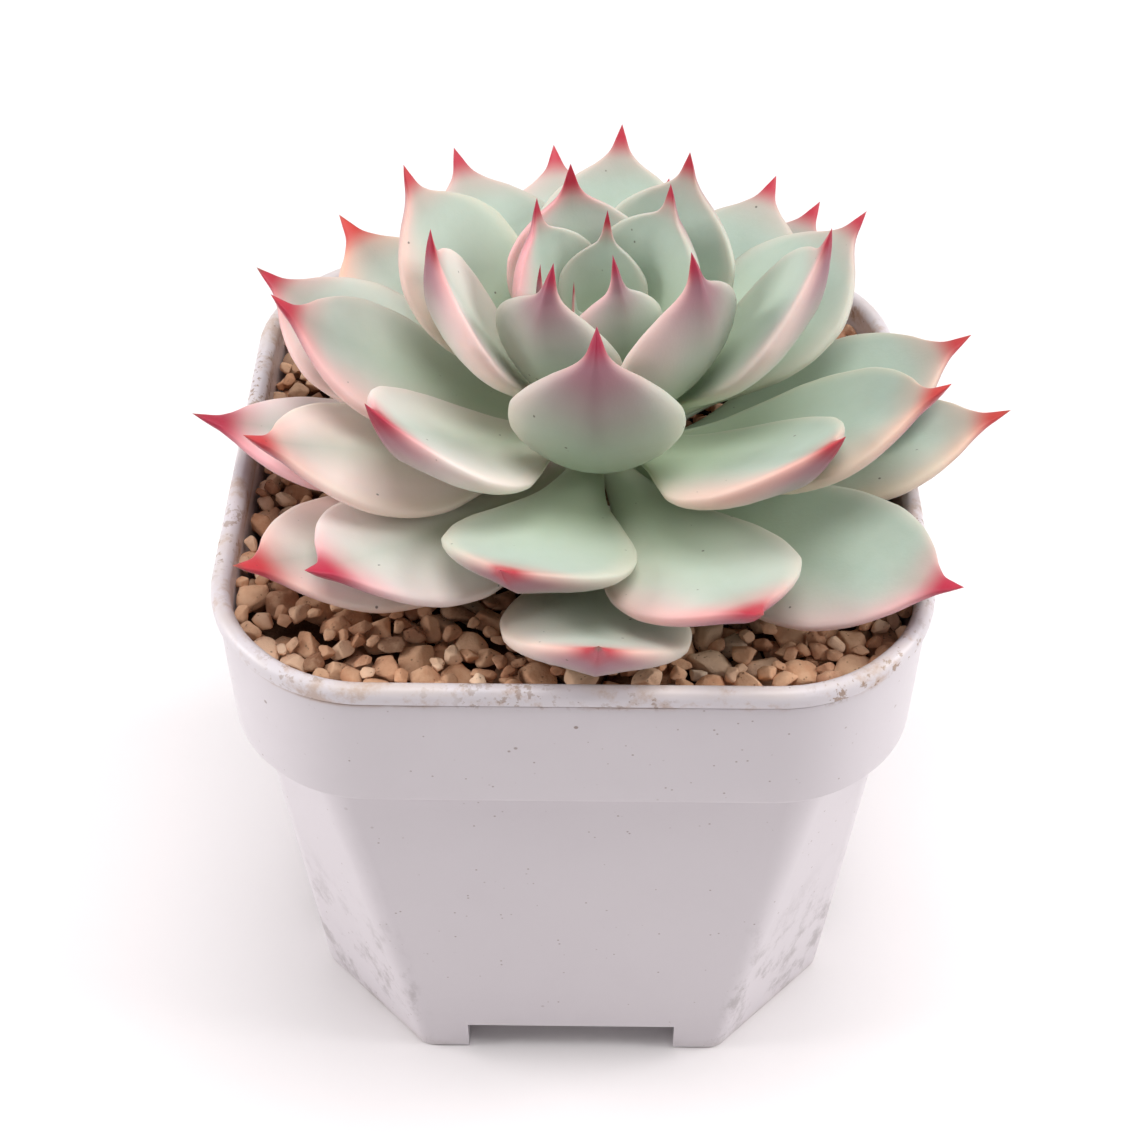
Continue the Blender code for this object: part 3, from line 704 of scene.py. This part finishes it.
RIM_RADIUS = 19.0 * MM
BEAD_STAND = 0.6 * MM
BEAD_HEIGHT = 2.0 * MM
RIM_THICKNESS = 2.3 * MM
WALL = 1.6 * MM
FLOOR = 6.2 * MM
FLOOR_TOP = 8.0 * MM
COLLAR_HEIGHT = 19.9 * MM
COLLAR_DRAFT = 0.6 * MM
COLLAR_RADIUS = 17.0 * MM
COLLAR_STEP = 3.1 * MM
COLLAR_BOTTOM = POT_HEIGHT - COLLAR_HEIGHT
COLLAR_HALF = POT_WIDTH / 2 - BEAD_STAND - COLLAR_DRAFT
LEDGE_TOP = COLLAR_BOTTOM + WALL
SLOT_WIDTH = 28.4 * MM
SLOT_HEIGHT = 5.6 * MM
DRAIN_RADIUS = 3.2 * MM
DRAIN_REACH = 19 * MM


def round_corner(half, radius, height):
    return Section(half, (2 * SETBACK * radius + CORNER_FLAT) / math.sqrt(2), radius, height)


RIM = round_corner(POT_WIDTH / 2, RIM_RADIUS, POT_HEIGHT)
COLLAR = round_corner(COLLAR_HALF, COLLAR_RADIUS, COLLAR_BOTTOM)
BODY_TOP = Section(COLLAR_HALF - COLLAR_STEP, 9.0 * MM, 7.0 * MM, COLLAR_BOTTOM)
BASE = Section(35.1 * MM, 14.8 * MM, 3.0 * MM, 0.0)
print("corner cut grows from", BODY_TOP.chamfer / MM, "to", BASE.chamfer / MM, "mm")

# %% [markdown]
# The sections run from the underside up the outside, over the rolled edge and down the inside to the
# floor. Where the real pot has a small rounding, three or four sections follow an arc. Extra sections
# half way down the body keep the long facets evenly divided.

# %% Pot shell


def arc(start, end, count=4):
    for i in range(count + 1):
        yield math.radians(start + (end - start) * i / count)


def pot_sections():
    foot = 0.6 * MM
    skirt = 2.2 * MM
    rows = [BASE.inset(skirt, FLOOR), BASE.inset(skirt, 0.0), BASE.inset(foot, 0.0)]
    for a in arc(30, 90, 3):
        rows.append(BASE.inset(foot * (1 - math.sin(a)), foot * (1 - math.cos(a))))
    for share in (0.03, 0.1, 0.2, 0.35, 0.5, 0.65, 0.8, 0.92, 0.975):
        rows.append(BASE.towards(BODY_TOP, share))
    rows.append(BODY_TOP.towards(BASE, 0.005))
    rows.append(BODY_TOP.inset(-0.25 * MM, COLLAR_BOTTOM))
    lip = 0.8 * MM
    for a in arc(0, 90, 5):
        rows.append(COLLAR.inset(lip * (1 - math.sin(a)), COLLAR_BOTTOM + lip * (1 - math.cos(a))))
    groove = POT_HEIGHT - BEAD_HEIGHT - 0.9 * MM
    collar_top = RIM.inset(BEAD_STAND, groove)
    for share in (0.2, 0.5, 0.8, 0.95):
        rows.append(COLLAR.towards(collar_top, share))
    rows.append(collar_top.inset(0.12 * MM, groove))
    rows.append(collar_top.inset(0.48 * MM, groove + 0.30 * MM))
    rows.append(collar_top.inset(-0.15 * MM, groove + 0.60 * MM))
    rows.append(RIM.inset(0.10 * MM, groove + 0.85 * MM))
    turn = RIM_THICKNESS / 2
    for a in arc(0, 180, 12):
        rows.append(RIM.inset(turn * (1 - math.cos(a)), POT_HEIGHT - turn + turn * math.sin(a)))
    body_inside = BODY_TOP.inset(WALL, COLLAR_BOTTOM + WALL / 2)
    floor_inside = BASE.towards(BODY_TOP, FLOOR_TOP / COLLAR_BOTTOM).inset(WALL, FLOOR_TOP)
    rows.append(RIM.inset(RIM_THICKNESS, LEDGE_TOP))
    rows.append(body_inside)
    rows.append(floor_inside.towards(body_inside, 0.5))
    rows.append(floor_inside)
    return rows


def cutter(name, bm, place=(0, 0, 0)):
    mesh = bpy.data.meshes.new(name)
    bm.to_mesh(mesh)
    bm.free()
    obj = bpy.data.objects.new(name, mesh)
    bpy.context.scene.collection.objects.link(obj)
    obj.location = POT_MIDDLE + Vector(place)
    return obj


def slot_cutter(name, width, depth, height):
    bm = bmesh.new()
    bmesh.ops.create_cube(bm, size=1.0)
    bmesh.ops.scale(bm, vec=(width, depth, 2 * height), verts=bm.verts)
    return cutter(name, bm)


def drain_cutter(name, x, y):
    bm = bmesh.new()
    bmesh.ops.create_cone(
        bm, cap_ends=True, segments=32, radius1=DRAIN_RADIUS, radius2=DRAIN_RADIUS, depth=6 * MM)
    return cutter(name, bm, (x, y, FLOOR))


def cut_away(obj, cutters):
    """Subtracts the cutters, keeps the result as the object's mesh and clears the cutters away."""
    for made in cutters:
        modifier = obj.modifiers.new(made.name, "BOOLEAN")
        modifier.operation = "DIFFERENCE"
        modifier.object = made
    bpy.context.view_layer.update()
    shown = obj.evaluated_get(bpy.context.evaluated_depsgraph_get())
    result = bpy.data.meshes.new_from_object(shown)
    obj.modifiers.clear()
    obj.data = result
    for made in cutters:
        bpy.data.objects.remove(made)


rows = pot_sections()
pot_points = [p for row in rows for p in row.points()]
pot_faces = ring_faces(len(rows), 8 * (CORNER_STEPS + 1))
print("pot shell:", len(pot_points), "points in", len(rows), "sections")

# %% [markdown]
# White polypropylene is slightly glossy and never quite clean. Potting leaves brown dust in the groove
# and on the rolled edge, fine specks on the collar, and grey scuffs low on the corner facets. The colour
# is nearly flat, so these marks and a faint unevenness of the moulded wall carry the finish. Each mark
# is a noise cut off at a level, multiplied by a mask that says where on the pot it may be.

# %% Plastic material


def plastic_material():
    f = Finish("moulded_plastic")
    place = f.place()
    x, y, z = place.parts()
    wall = f.cloud(place, 24.0, 3.0)
    haze = f.cloud(place, 90.0, 4.0, 0.6)
    colour = f.mix(wall, seen(.82, .795, .815), seen(.85, .825, .84))
    colour = f.mix(haze.rise(0.50, 0.75) * 0.14, colour, seen(.80, .77, .79))

    below_rim = z - POT_HEIGHT
    high = below_rim.rise(-3.6 * MM, -2.2 * MM)
    inside = below_rim.rise(-1.0 * MM, 0.0)
    groove = below_rim.rise(-3.3 * MM, -2.8 * MM) * below_rim.rise(-2.0 * MM, -2.4 * MM)
    settled = groove * f.cloud(place, 45.0, 4.0, 0.6).rise(0.44, 0.60)
    colour = f.mix(settled * 0.55, colour, seen(.62, .48, .38))
    smear = f.cloud(place, 210.0, 5.0, 0.7).rise(0.50, 0.68) * high
    here_and_there = f.cloud(place, 60.0).rise(0.40, 0.6)
    crumbs = f.cloud(place, 900.0, 3.0, 0.6).rise(0.55, 0.62) * high * here_and_there
    colour = f.mix(smear * 0.55, colour, seen(.70, .56, .44))
    colour = f.mix(crumbs * 0.75, colour, seen(.55, .42, .30))
    colour = f.mix(inside * haze.rise(0.42, 0.62) * 0.25, colour, seen(.78, .68, .56))

    collar = z.rise(COLLAR_BOTTOM - 1 * MM, COLLAR_BOTTOM + 1 * MM)
    spot = f.cells(place, 260.0)
    chance = f.cloud(place, 140.0, 1.0)
    speck = spot.rise(0.085, 0.045) * chance.rise(0.50, 0.60) * (0.35 + 0.65 * collar)
    colour = f.mix(speck * 0.75, colour, seen(.45, .33, .26))
    fine_spot = f.cells(place, 800.0)
    fine_speck = fine_spot.rise(0.15, 0.07) * f.cloud(place, 300.0, 1.0).rise(0.54, 0.62)
    colour = f.mix(fine_speck * 0.60, colour, seen(.50, .40, .35))

    low = z.rise(40 * MM, 14 * MM)
    facet = 2 * BASE.half - BASE.chamfer
    facet_growth = (2 * BODY_TOP.half - BODY_TOP.chamfer - facet) / COLLAR_BOTTOM
    reach = abs(x - POT_MIDDLE.x) + abs(y - POT_MIDDLE.y)
    corner = (reach - z * facet_growth - facet).rise(-3.0 * MM, -0.3 * MM)
    scuff = f.cloud(place.scaled(1.0, 1.0, 0.55), 230.0, 6.0, 0.7).rise(0.48, 0.66)
    colour = f.mix(low * corner * scuff * 0.55, colour, seen(.60, .57, .57))
    colour = f.mix(z.rise(3 * MM, 0.0) * haze.rise(0.4, 0.7) * 0.35, colour, seen(.68, .62, .58))

    sink = f.cloud(place, 38.0, 2.0)
    relief = f.bump(sink * 0.9 + f.cloud(place, 1500.0, 2.0) * 0.05, 0.35 * MM, 0.35)
    rough = 0.30 + haze * 0.12 + smear * 0.3 + scuff * low * 0.15
    return f.set(Base_Color=colour, Roughness=rough, Normal=relief, Specular_IOR_Level=0.5,
                 Subsurface_Weight=0.08, Subsurface_Radius=(1.0, 0.95, 0.95), Subsurface_Scale=1.5 * MM)


plastic = plastic_material()
pot = piece("nursery_pot", pot_points, pot_faces, plastic, None, ["pot"])
ACROSS_POT = 140 * MM
cutters = [
    slot_cutter("slot_front", SLOT_WIDTH, ACROSS_POT, SLOT_HEIGHT),
    slot_cutter("slot_side", ACROSS_POT, SLOT_WIDTH, SLOT_HEIGHT),
    drain_cutter("drain_middle", 0, 0),
]
for quarter in range(4):
    angle = (2 * quarter + 1) * EIGHTH
    x, y = DRAIN_REACH * math.cos(angle), DRAIN_REACH * math.sin(angle)
    cutters.append(drain_cutter(f"drain_{quarter}", x, y))
cut_away(pot, cutters)
pot.data.shade_smooth()
pot.data.set_sharp_from_angle(angle=math.radians(38))
print("pot after cutting:", len(pot.data.polygons), "faces")

# %% [markdown]
# ## Soil
# Round the stem the dressing thins out and the dark potting mix shows. It is a crumbly mound, so its
# surface is a fine disc pushed up and down by noise at three sizes, with loose crumbs lying on it. The
# solid soil below keeps its shape and gets the same material. Farther out, where stones cover it, their
# tan dust has sifted down and lightens it.

# %% Soil material and mound


def soil_material():
    f = Finish("potting_mix")
    place = f.place()
    lumps = f.cloud(place, 420.0, 6.0, 0.7)
    bits = f.cells(place, 700.0)
    colour = f.ramp(lumps, (0.32, seen(.10, .07, .07)), (0.52, seen(.20, .15, .13)),
                    (0.74, seen(.36, .27, .21)))
    scraps = bits.rise(0.22, 0.12) * f.cloud(place, 250.0).rise(0.52, 0.62)
    colour = f.mix(scraps, colour, seen(.55, .44, .34))
    x, y, z = place.parts()
    reach = ((x - PLANT.x) ** 2.0 + (y - PLANT.y) ** 2.0) ** 0.5
    colour = f.mix(reach.rise(23 * MM, 31 * MM) * 0.75, colour, seen(.47, .34, .25))
    relief = f.bump(lumps + bits * 0.4, 0.8 * MM)
    return f.set(Base_Color=colour, Roughness=0.88 - lumps * 0.1, Normal=relief, Specular_IOR_Level=0.3)


potting_mix = soil_material()
nodes["soil"].data.materials.clear()
nodes["soil"].data.materials.append(potting_mix)
SOIL_TOP = gravel_low.z - 0.3 * MM
MOUND_INNER = 2 * MM
MOUND_RADIUS = 31 * MM
MOUND_RISE = 3.0 * MM
MOUND_SLOPE_END = 15 * MM
MOUND_RINGS = 64
MOUND_SIDES = 150


def soil_height(x, y):
    away = math.hypot(x - PLANT.x, y - PLANT.y)
    rise = MOUND_RISE * max(0.0, 1 - away / MOUND_SLOPE_END) + 0.9 * MM
    place = Vector((x, y, 0))
    big = noise.noise(place / (6 * MM)) * 0.7 * MM
    middle = noise.noise(place / (2 * MM)) * 0.45 * MM
    small = noise.noise(place / (0.8 * MM)) * 0.22 * MM
    return SOIL_TOP + rise + big + middle + small


mound = []
for r in range(MOUND_RINGS):
    reach = MOUND_INNER + (MOUND_RADIUS - MOUND_INNER) * r / (MOUND_RINGS - 1)
    for i in range(MOUND_SIDES):
        angle = 2 * math.pi * i / MOUND_SIDES
        x = PLANT.x + reach * math.cos(angle)
        y = PLANT.y + reach * math.sin(angle)
        mound.append((x, y, soil_height(x, y)))
mound += [(x, y, SOIL_TOP - 1 * MM) for x, y, z in mound[-MOUND_SIDES:]]
mound_faces = [face[::-1] for face in ring_faces(MOUND_RINGS + 1, MOUND_SIDES)]
piece("soil_mound", mound, mound_faces, potting_mix)
print("soil mound", len(mound), "points, top", round(max(p[2] for p in mound), 4))

# %% [markdown]
# ## Stones
# A grain of the dressing is a small piece of fired clay or pumice: broken, then tumbled until its edges
# are round. A ball pressed flat by a few planes and then smoothed gives that shape. A dozen moulds, each
# turned and stretched in its own way, are enough to look like hundreds of different stones.

# %% Stone moulds
rng = np.random.default_rng(11)


def stone_mould(flats, fineness=3):
    bm = bmesh.new()
    bmesh.ops.create_icosphere(bm, subdivisions=fineness, radius=1.0)
    for _ in range(flats):
        normal = Vector(rng.normal(size=3)).normalized()
        depth = rng.uniform(0.50, 0.80)
        for vert in bm.verts:
            over = vert.co.dot(normal) - depth
            if over > 0:
                vert.co -= normal * over * 0.98
    offset = Vector(rng.uniform(0, 50, 3))
    for vert in bm.verts:
        swell = 0.09 * noise.noise(vert.co * 1.3 + offset)
        dent = 0.035 * noise.noise(vert.co * 4 + offset)
        vert.co *= 1 + swell + dent
    bmesh.ops.smooth_vert(
        bm, verts=bm.verts, factor=0.12, use_axis_x=True, use_axis_y=True, use_axis_z=True)
    points = np.array([v.co for v in bm.verts])
    faces = np.array([[v.index for v in face.verts] for face in bm.faces])
    bm.free()
    return points / np.abs(points).max(0), faces


moulds = [stone_mould(flats) for flats in (8, 9, 10, 11, 12, 13, 9, 10, 11, 12, 15, 8)]
crumb_moulds = [stone_mould(flats, 2) for flats in (3, 5, 7)]
print(len(moulds), "stone moulds of", len(moulds[0][0]), "points")

# %% [markdown]
# The stones lie on one another. A height map of the bed is kept while they are dropped one at a time:
# each falls where the bed is still lowest, rests on the highest thing under it, sinks a little between
# its neighbours, and raises the map by its own back. Later stones are smaller and fill the gaps. A
# rigid-body simulation would do the same far more slowly.

# %% Drop the stones
CELL = 0.5 * MM
INNER_HALF = POT_WIDTH / 2 - RIM_THICKNESS
INNER_CORNER = 17 * MM
DISH_START = 18 * MM
DISH_RUN = 24 * MM
DISH_DEPTH = 3.2 * MM
BARE_REACH = 19 * MM
MOST_ATTEMPTS = 9000
grid_size = int(2 * INNER_HALF / CELL)
axis = (np.arange(grid_size) + 0.5) * CELL - INNER_HALF
GX, GY = np.meshgrid(axis, axis, indexing="ij")
from_plant = np.hypot(GX - PLANT_OFFSET.x, GY)
dish = np.clip(1 - (from_plant - DISH_START) / DISH_RUN, 0, 1)
target = gravel_high.z - 0.9 * MM - DISH_DEPTH * dish
bed = np.full_like(target, SOIL_TOP)
corner_x = np.maximum(np.abs(GX) - (INNER_HALF - INNER_CORNER), 0)
corner_y = np.maximum(np.abs(GY) - (INNER_HALF - INNER_CORNER), 0)
from_wall = INNER_CORNER - np.hypot(corner_x, corner_y)
edge_wave = np.array([[noise.noise(Vector((x, y, 0)) / (7 * MM)) for y in axis] for x in axis])
frontward = np.clip(-GY / np.maximum(from_plant, 1 * MM), 0, 1) ** 2
bare_reach = BARE_REACH + 5 * MM * edge_wave + frontward * (5 * MM + 6 * MM * edge_wave)
bare = from_plant < bare_reach
open_cells = (from_wall > 0) & ~bare


def footprint(x, y, long_half, wide_half, turn):
    """The cells round a stone, and how far each is from its middle, with 1 at its edge, squared."""
    reach = int(long_half / CELL) + 1
    i = int((x + INNER_HALF) / CELL)
    j = int((y + INNER_HALF) / CELL)
    rows = slice(max(i - reach, 0), min(i + reach + 1, grid_size))
    columns = slice(max(j - reach, 0), min(j + reach + 1, grid_size))
    dx = GX[rows, columns] - x
    dy = GY[rows, columns] - y
    along = (dx * math.cos(turn) + dy * math.sin(turn)) / long_half
    across = (dy * math.cos(turn) - dx * math.sin(turn)) / wide_half
    away = along ** 2 + across ** 2
    return rows, columns, away


stones = []
for attempt in range(MOST_ATTEMPTS):
    shrink = 1 - 0.55 * min(attempt / 6000, 1)
    long_half = rng.triangular(2.0, 2.6, 3.3) * shrink * MM
    wide_half = long_half * rng.uniform(0.68, 0.92)
    high_half = long_half * rng.uniform(0.48, 0.72)
    need = np.where(open_cells & (from_wall > wide_half * 0.9), target - bed, -1)
    if need.max() < 0.6 * MM:
        break
    wanted = np.argwhere(need > max(need.max() * 0.55, 0.5 * MM))
    i, j = wanted[rng.integers(len(wanted))]
    x, y = axis[i] + rng.uniform(-0.5, 0.5) * CELL, axis[j] + rng.uniform(-0.5, 0.5) * CELL
    turn = rng.uniform(0, math.pi)
    rows, columns, away = footprint(x, y, long_half, wide_half, turn)
    inside = away < 0.8
    dome = high_half * np.sqrt(np.clip(1 - away, 0, 1))
    rest = np.max((bed[rows, columns] + dome * 0.8)[inside])
    middle = rest - 0.30 * high_half
    if middle + high_half > target[i, j] + 1.7 * MM:
        bed[i, j] += 0.4 * MM
        continue
    top = np.where(away < 1, middle + dome, -1)
    bed[rows, columns] = np.maximum(bed[rows, columns], top)
    stones.append((x, y, middle, long_half, wide_half, high_half, turn))
print("stones dropped:", len(stones), "bed still low by", round(float(need.max()) / MM, 2), "mm")

# %% [markdown]
# All stones become one mesh, because they are one poured dressing. Each point stores its stone's own
# numbers, from which the material picks a shade, so no two neighbours look alike.

# %% Stone mesh


def scattered(name, bodies, choices, material, tilt, replaces=()):
    """One mesh of many small bodies: x, y, z, three half sizes and a turn for each."""
    points, faces, point_values = [], [], []
    start = 0
    for x, y, z, a, b, c, turn in bodies:
        mould, mould_faces = choices[rng.integers(len(choices))]
        flip = Matrix.Rotation(rng.integers(2) * math.pi, 3, "X")
        nod = Matrix.Rotation(rng.normal() * tilt, 3, "X")
        lean = Matrix.Rotation(rng.normal() * tilt, 3, "Y")
        turned = np.array(Matrix.Rotation(turn, 3, "Z") @ nod @ lean @ flip)
        points.append((mould * (a, b, c)) @ turned.T + (x, y, z))
        faces.append(mould_faces + start)
        point_values.append(np.tile(rng.uniform(0, 1, 3), (len(mould), 1)))
        start += len(mould)
    return piece(name, np.vstack(points), np.vstack(faces).tolist(), material,
                 {"stone_own": np.vstack(point_values)}, replaces)


def stone_material():
    f = Finish("tan_stone")
    shade, hue, odd = f.attribute("stone_own").parts()
    place = f.place()
    colour = f.ramp(shade, (0.0, seen(.68, .50, .40)), (0.35, seen(.81, .62, .49)),
                    (0.7, seen(.88, .72, .59)), (1.0, seen(.95, .83, .72)))
    colour = f.mix(hue * 0.30, colour, seen(.79, .54, .38))
    colour = f.mix(odd.rise(0.95, 0.97) * 0.6, colour, seen(.66, .61, .55))
    colour = f.mix(odd.rise(0.07, 0.03) * 0.7, colour, seen(.46, .31, .22))
    patches = f.cloud(place, 380.0, 5.0, 0.65)
    colour = f.mix(patches.rise(0.42, 0.68) * 0.40, colour, seen(.92, .79, .66))
    colour = f.mix(patches.rise(0.46, 0.28) * 0.40, colour, seen(.56, .39, .29))
    pores = f.cells(place, 1500.0).rise(0.26, 0.12) * f.cloud(place, 700.0).rise(0.48, 0.6)
    colour = f.mix(pores * 0.5, colour, seen(.36, .25, .18))
    relief = f.bump(patches * 0.8 + f.cloud(place, 2200.0, 3.0) * 0.3 - pores * 0.3, 0.35 * MM, 0.8)
    return f.set(Base_Color=colour, Roughness=0.80 + patches * 0.15, Normal=relief,
                 Specular_IOR_Level=0.3)


tan_stone = stone_material()
placed = [(POT_MIDDLE.x + x, POT_MIDDLE.y + y, z, a, b, c, t) for x, y, z, a, b, c, t in stones]
scattered("gravel_dressing", placed, moulds, tan_stone, 0.30, ["gravel_layer"])
print("stone mesh made from", len(placed), "stones")

# %% [markdown]
# Loose crumbs of the potting mix, some as small as sand, lie on the mound and between the stones next
# to it. They are the same kind of bodies, smaller and darker.

# %% Soil crumbs
crumbs = []
CRUMBS = 900
CRUMBS_FROM = 5 * MM
CRUMBS_RUN = 22 * MM
for _ in range(CRUMBS):
    reach = CRUMBS_FROM + CRUMBS_RUN * math.sqrt(rng.uniform(0.02, 1))
    angle = rng.uniform(0, 2 * math.pi)
    x = PLANT.x + reach * math.cos(angle)
    y = PLANT.y + reach * math.sin(angle)
    size = rng.triangular(0.25, 0.5, 1.3) * MM
    z = soil_height(x, y) + size * 0.3
    crumbs.append((x, y, z, size, size * 0.8, size * 0.7, rng.uniform(0, 3.1)))
scattered("soil_crumbs", crumbs, crumb_moulds, potting_mix, 0.6)
print("crumbs:", len(crumbs))

# %% [markdown]
# The stem is short and hidden by the leaves, so its turned solid is kept. Where it does show, it is pale
# and woody with rings of old leaf scars, which come from a wave along its height broken up by noise.

# %% Stem material


def stem_material():
    f = Finish("woody_stem")
    place = f.place()
    bark = f.cloud(place.scaled(1.0, 1.0, 2.5), 500.0, 5.0, 0.65)
    x, y, z = place.parts()
    phase = z * 5200.0 + bark * 3.0
    scars = phase.math("SINE", phase)
    colour = f.ramp(bark, (0.3, seen(.36, .27, .18)), (0.55, seen(.58, .49, .34)),
                    (0.75, seen(.66, .63, .46)))
    colour = f.mix(scars.rise(0.5, 1.0) * 0.5, colour, seen(.33, .24, .17))
    relief = f.bump(bark + scars * 0.3, 0.4 * MM)
    return f.set(Base_Color=colour, Roughness=0.75 + bark * 0.1, Normal=relief)


woody = stem_material()
nodes["stem"].data.materials.clear()
nodes["stem"].data.materials.append(woody)

# %% [markdown]
# ## Floor, light and camera
# The plant stands on a plain white floor in soft daylight. Large area lights at both sides and above
# wrap the pot, and its front is left a little darker than its sides, so that the facets read. A dim
# even sky fills the shadows.

# %% Floor and light


def floor_material():
    f = Finish("pale_floor")
    cloud = f.cloud(f.place(), 6.0, 2.0)
    colour = f.mix(cloud, seen(.935, .92, .922), seen(.945, .93, .932))
    return f.set(Base_Color=colour, Roughness=0.75 + cloud * 0.05, Specular_IOR_Level=0.2)


bpy.ops.mesh.primitive_plane_add(size=6.0)
floor = bpy.context.object
floor.name = "floor"
floor.data.materials.append(floor_material())

SCENE = bpy.context.scene
SCENE.view_settings.view_transform = "Standard"
world = bpy.data.worlds.new("soft_sky")
SCENE.world = world
world.use_nodes = True
world.node_tree.nodes["Background"].inputs["Color"].default_value = (1.0, 0.985, 0.99, 1.0)
world.node_tree.nodes["Background"].inputs["Strength"].default_value = 0.31


def soft_light(name, azimuth, elevation, distance, size, power, colour=(1.0, 1.0, 1.0)):
    turn, climb = math.radians(azimuth), math.radians(elevation)
    away = Vector((math.cos(climb) * math.cos(turn), math.cos(climb) * math.sin(turn), math.sin(climb)))
    data = bpy.data.lights.new(name, "AREA")
    data.shape = "DISK"
    data.size = size
    data.energy = power
    data.color = colour
    lamp = bpy.data.objects.new(name, data)
    SCENE.collection.objects.link(lamp)
    aim = POT_MIDDLE + Vector((0, 0, 0.07))
    lamp.location = aim + away * distance
    lamp.rotation_euler = (-away).to_track_quat("-Z", "Y").to_euler()
    return lamp


soft_light("light_left", 181, 25, 0.85, 0.50, 4.5, (1.0, 0.98, 0.975))
soft_light("light_right", 0, 29, 0.85, 0.50, 4.6, (1.0, 0.985, 0.98))
soft_light("light_above", 320, 85, 0.90, 0.60, 4.9)
soft_light("light_back", 88, 48, 1.0, 0.7, 0.9)

# %% [markdown]
# The camera looks down at about forty degrees from the front, close enough that the pot narrows
# towards its base.

# %% Camera
camera_data = bpy.data.cameras.new("camera")
camera_data.lens = 64.46
camera_data.sensor_width = 36.0
camera = bpy.data.objects.new("camera", camera_data)
SCENE.collection.objects.link(camera)
camera.location = POT_MIDDLE + Vector((1.92, -197.07, 243.75)) * MM
aim = POT_MIDDLE + Vector((-0.57, -1.0, 59.4)) * MM
camera.rotation_euler = (aim - camera.location).to_track_quat("-Z", "Y").to_euler()
SCENE.camera = camera
print("camera", round((aim - camera.location).length, 3), "m away")
